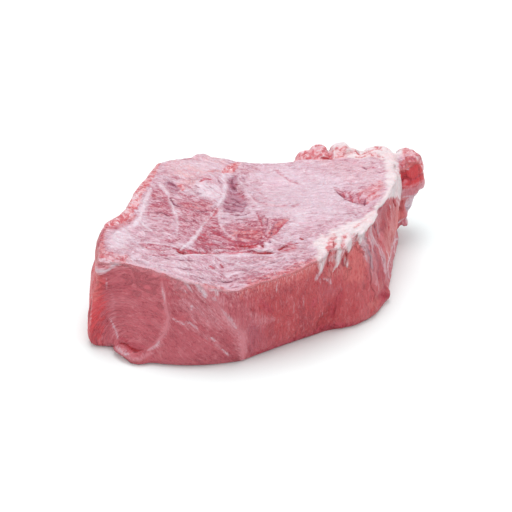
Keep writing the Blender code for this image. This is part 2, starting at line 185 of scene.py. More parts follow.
# The seams and patches of the cut upper face, as x, y.
UPPER_MARKS = (
    # Left collar: blotches of red and fat between the rim and a pale seam.
    Patch(BLUSH, ((-55, 62), (-57, 44), (-61, 33), (-63, 22), (-65, 10), (-69, -3), (-75, -9), (-88, -11),
                  (-92, -4), (-80, 22), (-68, 52)), 1.2, 0.95, 0.3),
    Stroke(DEEP, ((-56, 58), (-58, 50), (-60, 44)), 1.7, 0.95, -0.4, 0.5),
    Stroke(DEEP, ((-63, 31), (-66, 26), (-67, 21)), 1.2, 0.8, -0.4),
    Stroke(DEEP, ((-67, 19), (-69, 14)), 1.0, 0.7, -0.3),
    Stroke(DEEP, ((-73, 9), (-69, 7), (-65, 5)), 1.7, 0.95, -0.5),
    Stroke(DEEP, ((-87, -8), (-80, -9), (-74, -6), (-69, -1)), 1.7, 0.9, -0.5),
    Stroke(RUST, ((-84, -12), (-76, -11), (-70, -7), (-66, 0)), 2.2, 0.75, -0.2),
    Stroke(RUST, ((-82, -10), (-84, -18), (-83, -28), (-81, -38)), 2.4, 0.9, -0.3),
    Stroke(DEEP, ((-83, -12), (-85, -20), (-85, -27)), 1.4, 0.85, -0.3),
    Stroke(FILM, ((-66, 34), (-70, 22), (-74, 13)), 0.9, 0.85, 0.23),
    Stroke(FILM, ((-80, 4), (-74, 3), (-69, 4)), 0.9, 0.8, 0.23),
    Stroke(FILM, ((-87, -3), (-84, 0), (-80, 0)), 1.0, 0.8, 0.18),
    Stroke(FILM, ((-60, 28), (-60, 20), (-62, 9), (-64, -4)), 1.3, 0.95, 0.14),
    Stroke(FILM, ((-63, -2), (-66, -10), (-71, -14), (-77, -17)), 2.0, 1.0, 0.14),
    Stroke(FILM, ((-64, -5), (-60, -12), (-55, -18)), 1.0, 0.9, 0.09, 0.4),
    Patch(FILM, ((-79, -16), (-71, -14), (-67, -17), (-69, -27), (-77, -30), (-80, -25)), 3.0, 0.7),
    Stroke(RUST, ((-86, -15), (-87, -24), (-85, -34)), 1.7, 0.95, -0.3),
    Stroke(DEEP, ((-85, -14), (-86, -20)), 0.9, 0.7, -0.3),
    # The left front corner.
    Patch(BLUSH, ((-87, -27), (-78, -32), (-69, -35), (-67, -43), (-88, -43)), 3.0, 0.6),
    Stroke(FILM, ((-83, -39), (-77, -41), (-73, -42)), 1.1, 0.8, 0.18),
    Stroke(DEEP, ((-71, -40), (-68, -37)), 1.1, 1.0, -0.8),
    Stroke(FILM, ((-72, -41), (-70, -41)), 0.6, 0.9, 0.18),
    Stroke(DEEP, ((-82, -34), (-77, -36), (-73, -39)), 0.7, 0.7, -0.5),
    Stroke(PLUM, ((-84, -31), (-76, -33), (-68, -35)), 0.6, 0.5, -0.3),
    # The muscles on the left.
    Patch(FLUSH, ((-60, 28), (-51, 27), (-47, 14), (-45, -2), (-58, -4)), 3.2, 0.85),
    Stroke(RUST, ((-60, 22), (-56, 17)), 1.8, 0.7, -0.2),
    Stroke(RUST, ((-59, 9), (-50, 7)), 2.0, 0.6, -0.2),
    Stroke(PLUM, ((-57, 2), (-51, 1), (-47, -2)), 0.6, 0.8, -0.6),
    Stroke(PLUM, ((-58, 12), (-52, 13), (-49, 12)), 0.5, 0.6, -0.4),
    Patch(FLUSH, ((-60, -2), (-46, 0), (-45, -20), (-57, -22)), 3.5, 0.3),
    Stroke(FLUSH, ((-50, -24), (-46, -25), (-41, -23)), 1.4, 0.95, -0.4),
    Stroke(PLUM, ((-48, -26), (-43, -26)), 0.5, 0.6, -0.4),
    Stroke(FILM, ((-55, 32), (-52, 26), (-49, 19)), 1.2, 1.0, 0.15),
    Stroke(FILM, ((-50, 20), (-47, 13), (-45, 5)), 0.9, 0.65, 0.1),
    Stroke(FILM, ((-46, 8), (-44, -2), (-43, -12), (-43, -22)), 0.9, 0.55, 0.05),
    Patch(MAUVE, ((-54, 34), (-49, 36), (-45, 32), (-43, 26), (-46, 20), (-49, 25)), 1.6, 0.8, -0.6),
    Stroke(PLUM, ((-51, 35), (-48, 34), (-46, 31)), 0.9, 0.8, -0.5),
    Stroke(PLUM, ((-49, 19), (-46, 13), (-45, 10), (-41, 8)), 0.7, 0.95, -0.8),
    Stroke(BLUSH, ((-45, 33), (-42, 28), (-42, 24)), 1.5, 0.85, 0.3),
    # Behind them, pale meat tinged with salmon, a few red flecks and a pale hollow.
    Patch(CREAM, ((-52, 50), (-34, 56), (-26, 50), (-34, 30), (-37, 20), (-45, 21), (-43, 34)), 3.5, 1.0),
    Patch(CREAM, ((-54, 58), (-22, 66), (-16, 56), (-24, 44), (-52, 44)), 4.0, 0.8),
    Patch(FILM, ((-54, 56), (-22, 62), (-20, 42), (-44, 36)), 4.0, 0.3),
    Patch(FILM, ((-35, 33), (-20, 35), (-18, 19), (-26, 16), (-32, 22)), 2.3, 0.8),
    Patch(MAUVE, ((-32, 30), (-23, 31), (-22, 22), (-30, 23)), 2.2, 0.4),
    Stroke(DEEP, ((-32, 35), (-29, 39), (-25, 38)), 1.1, 1.0, -0.5),
    Stroke(RUST, ((-34, 38), (-30, 41), (-26, 41)), 1.5, 0.4, -0.2),
    Stroke(PLUM, ((-35, 31), (-32, 28)), 0.8, 0.6, -0.4),
    Stroke(PLUM, ((-27, 31), (-23, 29)), 0.8, 0.6, -0.4),
    Stroke(PLUM, ((-34, 24), (-30, 22)), 0.7, 0.7, -0.4),
    Stroke(PLUM, ((-22, 38), (-19, 36)), 0.6, 0.6, -0.4),
    Stroke(FLUSH, ((-44, 22), (-38, 19), (-33, 21)), 1.1, 0.9, -0.4),
    Stroke(RUST, ((-29, 45), (-25, 47), (-21, 47)), 1.6, 0.8, -0.3),
    Stroke(FLUSH, ((-48, 48), (-42, 46), (-36, 48)), 1.3, 0.5, -0.3),
    Stroke(FLUSH, ((-50, 40), (-44, 39)), 1.1, 0.5, -0.3),
    Stroke(DEEP, ((-44, 60), (-38, 61)), 1.1, 0.85, -0.2),
    Stroke(RUST, ((-33, 64), (-27, 63)), 2.0, 0.4),
    Patch(BLUSH, ((-21, 45), (-18, 52), (-11, 59), (-8, 56), (-13, 46)), 1.2, 0.9),
    Stroke(DEEP, ((-19, 46), (-16, 49), (-14, 52)), 1.5, 0.9, -0.5),
    Stroke(DEEP, ((-13, 54), (-10, 58)), 1.2, 0.8, -0.3),
    Stroke(FILM, ((-16, 47), (-13, 51)), 0.6, 0.9, 0.23),
    # The groove in front of them.
    Stroke(FLUSH, ((-62, -26), (-57, -29), (-51, -30), (-45, -30)), 1.7, 0.85, -0.2),
    Stroke(DEEP, ((-62, -28), (-57, -31), (-50, -33), (-44, -31)), 0.7, 0.85, -1.0),
    Stroke(FILM, ((-60, -25), (-54, -27), (-48, -28)), 0.7, 0.7, 0.18),
    # The seam up the middle and its branch to the tear.
    Stroke(FILM, ((-20, 49), (-18, 36), (-18, 20), (-21, 9)), 1.4, 0.9, 0.14),
    Stroke(FILM, ((-20, 12), (-20, 2), (-20, -7)), 0.8, 0.6, 0.1),
    Stroke(FILM, ((-20, -6), (-17, -14), (-11, -21)), 0.7, 0.65, 0.15),
    Patch(FLUSH, ((-45, 17), (-22, 18), (-23, 5), (-31, -12), (-43, -17)), 3.4, 0.75),
    Patch(RUST, ((-42, 12), (-31, 16), (-22, 13), (-24, 8), (-34, 6), (-42, 7)), 2.2, 0.6),
    Stroke(DEEP, ((-39, 10), (-35, 8), (-31, 10)), 1.0, 0.6, -0.4),
    Stroke(PLUM, ((-37, 5), (-31, 4), (-27, 5)), 0.7, 0.75, -0.6),
    Stroke(DEEP, ((-41, 1), (-36, -1), (-31, 0)), 0.9, 0.6, -0.5),
    Stroke(PLUM, ((-42, -6), (-37, -7), (-33, -6)), 0.6, 0.7, -0.5),
    Patch(FLUSH, ((-43, -13), (-32, -13), (-36, -26), (-44, -26)), 3.0, 0.5),
    Stroke(FILM, ((-22, 8), (-27, -5), (-31, -15)), 0.8, 0.6, 0.15),
    Stroke(FILM, ((-29, -10), (-32, -18), (-35, -25)), 1.3, 0.85, 0.15),
    Stroke(FILM, ((-32, -19), (-35, -26), (-40, -31)), 1.4, 1.0, 0.23, 0.6),
    Patch(DEEP, ((-23, 9), (-19, 9), (-22, 1), (-27, -7), (-28, -4), (-24, 3)), 0.9, 0.8, -0.8),
    Stroke(DEEP, ((-29, -10), (-25, -11), (-20, -9)), 0.9, 0.9, -0.7),
    Patch(FLUSH, ((-22, 0), (-20, -8), (-30, -12), (-29, -6)), 1.2, 0.8),
    # The dark pocket right of it.
    Patch(MAUVE, ((-16, 44), (-11, 43), (-11, 34), (-6, 22), (-4, 12), (-8, 4), (-18, 4), (-17, 20),
                  (-15, 29)), 1.5, 0.9, -0.8),
    Patch(MAUVE, ((-19, 6), (-4, 9), (0, 2), (-18, -3)), 2.4, 0.35, -0.3),
    Patch(DEEP, ((-13, 40), (-9, 34), (-6, 24), (-3, 14), (-7, 17), (-11, 27)), 1.8, 0.55, -0.3),
    Stroke(PLUM, ((-14, 42), (-13, 35), (-11, 30)), 0.9, 0.8, -0.5),
    Stroke(PLUM, ((-15, 24), (-11, 20), (-8, 14)), 0.6, 0.8, -0.5),
    Stroke(PLUM, ((-17, 16), (-12, 14), (-7, 9)), 0.6, 0.85, -0.5),
    Stroke(PLUM, ((-17, 9), (-13, 7), (-10, 8)), 0.6, 0.8, -0.5),
    Stroke(PLUM, ((-14, 2), (-8, 1), (-3, 3)), 0.6, 0.8, -0.5),
    Stroke(PLUM, ((-12, -3), (-6, -3)), 0.5, 0.7, -0.4),
    Stroke(FILM, ((-14, 12), (-11, 17)), 0.6, 0.6, 0.18),
    Stroke(FILM, ((-9, 38), (-5, 28), (-2, 17), (1, 9), (6, 4)), 0.9, 0.55, 0.14),
    Stroke(PLUM, ((-8, 42), (-6, 38)), 0.8, 0.7, -0.4),
    # The wet deep red muscle in the tear.
    Patch(FLUSH, ((-34, -14), (-21, -8), (-8, -4), (3, -5), (10, -16), (4, -30),
                  (-33, -30)), 2.6, 1.0, -0.5),
    Patch(RUST, ((-14, -13), (-6, -8), (3, -10), (5, -20), (-11, -21)), 2.6, 0.8, -0.2),
    Patch(DEEP, ((-33, -16), (-27, -15), (-25, -20), (-28, -24), (-33, -22)), 1.2, 0.9, -0.3),
    Stroke(DEEP, ((-25, -13), (-19, -17), (-13, -22), (-6, -23)), 1.3, 1.0, -0.5),
    Patch(DEEP, ((-15, -24), (-8, -22), (1, -22), (4, -27), (-9, -30)), 1.2, 1.0, -0.4),
    Stroke(GAP, ((-10, -25), (-4, -26), (2, -25)), 0.9, 0.9, -0.4),
    Stroke(GAP, ((-31, -19), (-28, -20)), 0.9, 0.8, -0.3),
    Stroke(GAP, ((-10, -16), (-4, -15), (2, -16)), 0.6, 0.7, -0.4),
    Stroke(GAP, ((-7, -19), (0, -19), (4, -20)), 0.6, 0.7, -0.4),
    Stroke(DEEP, ((-31, -26), (-24, -25), (-17, -27)), 0.9, 0.9, -0.4),
    Stroke(DEEP, ((-24, -29), (-16, -28), (-9, -29)), 0.8, 0.9, -0.4),
    Stroke(PLUM, ((-18, -12), (-12, -14)), 0.6, 0.7, -0.4),
    Patch(MAUVE, ((-26, -21), (-17, -21), (-14, -26), (-24, -27)), 1.5, 0.5),
    Stroke(FILM, ((-24, -22), (-19, -24)), 0.6, 0.7, 0.18),
    Stroke(FILM, ((-16, -11), (-8, -13)), 0.5, 0.6, 0.14),
    # The star of creases at its right end.
    Patch(FLUSH, ((2, 3), (9, -4), (18, -1), (10, -16), (7, -25), (3, -18)), 1.2, 0.85, -0.2),
    Patch(RUST, ((18, -2), (12, -5), (7, -14), (6, -23), (9, -20), (14, -11)), 1.0, 0.85, -0.3),
    Stroke(DEEP, ((18, -3), (14, -10), (9, -19)), 0.9, 0.95, -0.7),
    Stroke(DEEP, ((1, 3), (3, -4), (3, -11)), 0.8, 0.85, -0.8),
    Stroke(DEEP, ((3, -9), (4, -15), (7, -22)), 0.7, 0.8, -0.7),
    Stroke(PLUM, ((7, -3), (6, -9), (5, -14)), 0.5, 0.8, -0.5),
    Stroke(PLUM, ((11, -6), (9, -13), (8, -19)), 0.5, 0.7, -0.4),
    Stroke(FILM, ((5, -2), (4, -8)), 0.5, 0.7, 0.18),
    Stroke(FILM, ((9, -6), (7, -14)), 0.5, 0.6, 0.18),
    Patch(FILM, ((8, 5), (30, 4), (28, -6), (20, -12), (18, 0)), 3.0, 0.6),
    # The ragged tear, its pale lip, and the crumbs at its right end; the white of the lip and the crumbs is
    # partly painted highlight, where they catch the light.
    Patch(DEEP, ((-44, -30), (-36, -31), (-29, -31), (-24, -31), (-29, -35), (-38, -36)), 1.0, 1.0, -0.8),
    Stroke(GAP, ((-42, -32), (-38, -34), (-34, -35)), 1.2, 0.95, -1.0),
    Stroke(GAP, ((-32, -33), (-29, -34), (-26, -33)), 1.0, 0.95, -0.9),
    Stroke(FILM, ((-39, -33), (-36, -34)), 0.6, 0.9, 0.23),
    Stroke(DEEP, ((-26, -33), (-18, -31), (-8, -31), (0, -30)), 0.9, 0.75, -0.6),
    Stroke(FILM, ((-44, -35), (-38, -38), (-31, -38), (-24, -35), (-14, -34), (-4, -34)), 0.8, 1.0, 0.41),
    Patch(FILM, ((-20, -33), (-2, -31), (0, -33), (-8, -36), (-20, -36)), 1.2, 0.7, 0.3),
    Stroke(GAP, ((1, -31), (5, -32), (10, -33)), 1.0, 0.9, -0.8),
    Stroke(RUST, ((-3, -31), (2, -31)), 1.2, 0.8, -0.3),
    Stroke(FILM, ((-2, -29), (4, -30), (9, -31)), 0.7, 0.9, 0.36),
    Stroke(FILM, ((1, -26), (3, -28)), 0.9, 1.0, 0.41),
    Stroke(FILM, ((5, -25), (8, -28)), 0.9, 1.0, 0.41),
    Stroke(FILM, ((9, -23), (12, -27)), 0.9, 1.0, 0.36),
    Stroke(GAP, ((3, -26), (5, -28)), 0.7, 0.9, -0.8),
    Stroke(PLUM, ((7, -24), (9, -26)), 0.7, 0.9, -0.8),
    Stroke(GAP, ((12, -31), (15, -29), (18, -29)), 1.0, 0.95, -0.9, 0.5),
    Stroke(DEEP, ((14, -29), (18, -27), (23, -26)), 1.1, 0.95, -0.6, 0.4),
    Stroke(DEEP, ((14, -32), (19, -31), (23, -31)), 0.8, 0.9, -0.6, 0.4),
    Stroke(DEEP, ((17, -26), (20, -24)), 0.8, 0.8, -0.4, 0.4),
    Patch(RUST, ((11, -30), (20, -27), (24, -30), (20, -34), (13, -33)), 1.4, 0.5),
    Stroke(GAP, ((23, -21), (25, -23)), 1.0, 0.95, -0.6),
    # The strip in front.
    Stroke(DEEP, ((-25, -44), (-22, -46)), 0.9, 1.0, -0.6),
    Stroke(DEEP, ((-19, -42), (-17, -45)), 0.7, 1.0, -0.6),
    Stroke(PLUM, ((-56, -38), (-47, -39), (-38, -42), (-30, -42)), 0.5, 0.7, -0.5),
    Stroke(PLUM, ((-52, -45), (-44, -48), (-34, -49), (-26, -48)), 0.5, 0.7, -0.5),
    Stroke(PLUM, ((-34, -53), (-24, -55), (-14, -54), (-6, -50)), 0.5, 0.7, -0.5),
    Stroke(PLUM, ((-14, -48), (-4, -46), (6, -42), (14, -38)), 0.5, 0.6, -0.5),
    Stroke(FLUSH, ((-60, -36), (-50, -37), (-40, -36)), 1.1, 0.6, -0.2),
    Stroke(FLUSH, ((-8, -40), (4, -39), (14, -36)), 1.3, 0.6, -0.3),
    Patch(BLUSH, ((-38, -56.5), (-30, -57), (-18, -58), (-9, -60), (-9, -68), (-38, -64)), 1.2, 0.7),
    Patch(FLUSH, ((-12, -48), (10, -42), (30, -34), (28, -46), (0, -58), (-14, -60)), 4.0, 0.45),
    Patch(FILM, ((-66, -42), (-50, -40), (-40, -42), (-36, -52), (-50, -50)), 4.0, 0.4),
    # The broad muscle on the right.
    Patch(CALM, ((-2, 40), (4, 50), (36, 48), (54, 40), (52, 12), (42, -4), (20, -6), (6, 6)), 8.0, 0.85),
    Stroke(FLUSH, ((10, 50), (13, 44), (18, 36), (26, 30)), 0.9, 0.85, -0.6),
    Stroke(FLUSH, ((-4, 25), (0, 16), (7, 8), (14, 8), (20, 11)), 0.8, 0.85, -0.6),
    Stroke(FLUSH, ((-1, 29), (4, 19), (10, 13), (17, 13)), 0.7, 0.5, -0.4),
    Stroke(FLUSH, ((20, 8), (24, 10)), 1.2, 0.8, -0.4),
    Stroke(FLUSH, ((13, 22), (17, 18)), 0.7, 0.5, -0.2),
    Patch(FLUSH, ((-10, 53), (2, 56), (6, 46), (-5, 39)), 2.5, 0.4),
    Patch(CREAM, ((34, 60), (76, 60), (74, 26), (62, 20), (50, 34)), 5.0, 0.4),
    Patch(CALM, ((30, 60), (70, 60), (72, 34), (56, 30), (36, 44)), 5.0, 0.55),
    Patch(CALM, ((-54, 60), (-22, 68), (-16, 50), (-30, 40), (-50, 40)), 5.0, 0.45),
    Stroke(FLUSH, ((60, 53), (64, 50), (70, 50)), 1.1, 0.9, -0.4),
    Stroke(PLUM, ((62, 52), (64, 48)), 0.8, 0.8, -0.4),
    Stroke(PLUM, ((68, 47), (72, 44)), 0.6, 0.7, -0.4),
    Stroke(FLUSH, ((52, 57), (57, 55), (60, 58)), 1.1, 0.8, -0.3),
    Stroke(FLUSH, ((46, 48), (54, 46), (60, 47)), 0.8, 0.6, -0.3),
    Patch(FLUSH, ((44, 27), (50, 26), (58, 22), (64, 17), (61, 11), (54, 14), (48, 19)), 1.6, 0.9, -0.6),
    Patch(MAUVE, ((46, 25), (52, 22), (60, 17), (60, 13), (54, 16), (49, 20)), 1.0, 0.3),
    Stroke(PLUM, ((44, 25), (48, 20), (54, 15), (61, 11)), 1.2, 0.7, -0.5),
    Stroke(DEEP, ((49, 25), (50, 19)), 0.7, 0.9, -0.4),
    Stroke(DEEP, ((53, 23), (54, 16)), 0.7, 0.9, -0.4),
    Stroke(DEEP, ((57, 21), (58, 13)), 0.7, 0.9, -0.4),
    Stroke(PLUM, ((61, 17), (61, 10)), 0.6, 0.8, -0.4),
    Stroke(FILM, ((51, 23), (52, 20)), 0.6, 0.9, 0.18),
    Patch(BLUSH, ((58, 23), (66, 30), (71, 36), (74, 28), (70, 17), (63, 13)), 2.2, 0.6),
    Stroke(FLUSH, ((62, 24), (64, 17)), 0.6, 0.8, -0.3),
    Stroke(FLUSH, ((66, 26), (68, 19)), 0.6, 0.8, -0.3),
    Stroke(DEEP, ((66, 33), (68, 30), (71, 27)), 0.9, 0.85, -0.5),
    # Warm meat where the front turns over the rim.
    Patch(EMBER, ((34, -38), (27, -40), (20, -43), (11, -47), (4, -50), (-4, -52), (-8, -62), (10, -62),
                  (36, -50)), 1.6, 0.7),
    # The fat along the right edge and at the back.
    Patch(FAT, ((31, -25), (37, -20), (43, -14), (50, -7), (58, -3), (64, 4), (68, 12), (73, 20),
                (75, 28), (74, 40), (75, 52), (75, 66), (83.5, 66), (83.5, 46), (88, 36), (84, 10),
                (70, -20), (44, -44), (33, -42)), 3.0, 1.0, 0.2),
    Stroke(FAT, ((54, -17), (61, -10), (66, -2), (70, 9), (74, 20), (78, 30)), 1.7, 1.0, 0.6),
    Stroke(FAT, ((36, -20), (36, -30), (36, -38)), 3.0, 1.0, 0.3),
    Stroke(FAT, ((45, -14), (44, -22), (44, -30)), 1.7, 1.0, 0.4, 0.8),
    Stroke(FAT, ((51, -12), (50, -20), (49, -26)), 1.6, 1.0, 0.4, 0.8),
    Patch(BLUSH, ((39, -22), (43, -19), (43, -28), (43, -36), (38, -36)), 1.5, 0.9, -0.4),
    Patch(BLUSH, ((46, -22), (49, -20), (48, -26), (49, -32), (45, -32)), 1.3, 0.9, -0.4),
    Stroke(BLUSH, ((53, -18), (53, -24)), 1.6, 0.85, -0.3),
    Stroke(BLUSH, ((53, -13), (57, -9), (60, -6)), 1.6, 0.6, -0.2),
    Stroke(GAP, ((41, -25), (42, -31)), 0.7, 0.8, -0.6),
    Stroke(GAP, ((55, -17), (54, -22)), 0.7, 0.7, -0.5),
    Stroke(FLUSH, ((58, -2), (63, 5), (67, 12)), 0.8, 0.5, -0.4),
    Stroke(DEEP, ((79, 58), (81, 55)), 1.0, 0.9, -0.7),
    # The red muscle on top of the lobe.
    Patch(RUST, ((84, 62), (90, 61), (96, 59), (101, 56), (101, 44), (84, 44)), 0.9, 1.0),
)

# The flaps along the back of the upper face and the lobe at its right end, seen from above, as x, y.
CREST_MARKS = (
    Stroke(CARVE, ((10, 63), (17, 65), (24, 66)), 4.0, 1.0, -1.3),
    Stroke(CARVE, ((83, 78), (81.5, 68)), 2.2, 1.0, -2.2),
    Patch(BLUSH, ((12, 61), (34, 59), (46, 60), (46, 75), (26, 75)), 1.2, 0.9),
    Stroke(FILM, ((14, 66), (26, 69), (36, 72)), 1.8, 0.8, 0.3),
    Stroke(DEEP, ((12, 62), (22, 61), (34, 60), (45, 60)), 0.9, 0.9, -0.5),
    Stroke(DEEP, ((35, 63), (36, 68), (34, 72)), 1.0, 0.8, -0.4),
    Stroke(DEEP, ((43.5, 61), (43.5, 67), (43, 74)), 1.2, 0.8, -1.8),
    Stroke(DEEP, ((22, 64), (30, 66)), 0.8, 0.7, -0.3),
    Stroke(GAP, ((38, 61), (43, 61)), 0.9, 0.9, -0.5),
    Stroke(FILM, ((38, 65), (41, 68), (43, 66), (41, 63)), 0.8, 0.9, 0.5),
    Stroke(MAUVE, ((39, 70), (43, 71)), 1.0, 0.6, -0.2),
    Patch(FAT, ((46, 60), (58, 60), (70, 61), (80, 58), (84, 60), (84, 84), (44, 84),
                (44, 71)), 1.6, 0.95, 0.2),
    Patch(BLUSH, ((46, 60), (53, 60), (54, 67), (47, 68)), 1.2, 0.8),
    Patch(RUST, ((47, 62), (52, 61), (52, 66), (48, 67)), 1.6, 0.35),
    Stroke(BLUSH, ((52, 62), (58, 67), (66, 66), (74, 70)), 1.5, 0.8, -0.9),
    Stroke(BLUSH, ((58, 62), (66, 63), (75, 62)), 1.6, 0.75, -0.6),
    Stroke(BLUSH, ((66, 75), (70, 71), (74, 67)), 1.4, 0.7, -0.5),
    Stroke(FLUSH, ((58, 61), (68, 61), (74, 60)), 0.8, 0.8, -0.4),
    Stroke(DEEP, ((55, 66), (58, 64)), 0.7, 0.7, -0.3),
    Patch(BLUSH, ((86, 78), (100, 76), (100, 59), (92, 62), (86, 64)), 1.4, 0.9),
    Patch(FAT, ((81, 80), (90, 80), (90, 71), (87, 65), (81, 64)), 1.2, 0.95),
    Patch(RUST, ((84, 63), (90, 62), (96, 60), (101, 57), (101, 46), (84, 46)), 0.9, 1.0),
    Patch(DEEP, ((84, 60), (90, 59), (96, 58), (101, 55), (101, 46), (84, 46)), 1.6, 0.7),
    Stroke(DEEP, ((89, 74), (92, 70), (93, 65)), 1.1, 0.9, -0.5),
    Stroke(DEEP, ((95, 71), (97, 66), (96, 61)), 1.2, 0.9, -0.4),
    Stroke(FILM, ((91, 68), (95, 64)), 0.7, 0.9, 0.5),
    Stroke(FILM, ((93, 74), (97, 69)), 0.7, 0.8, 0.5),
)

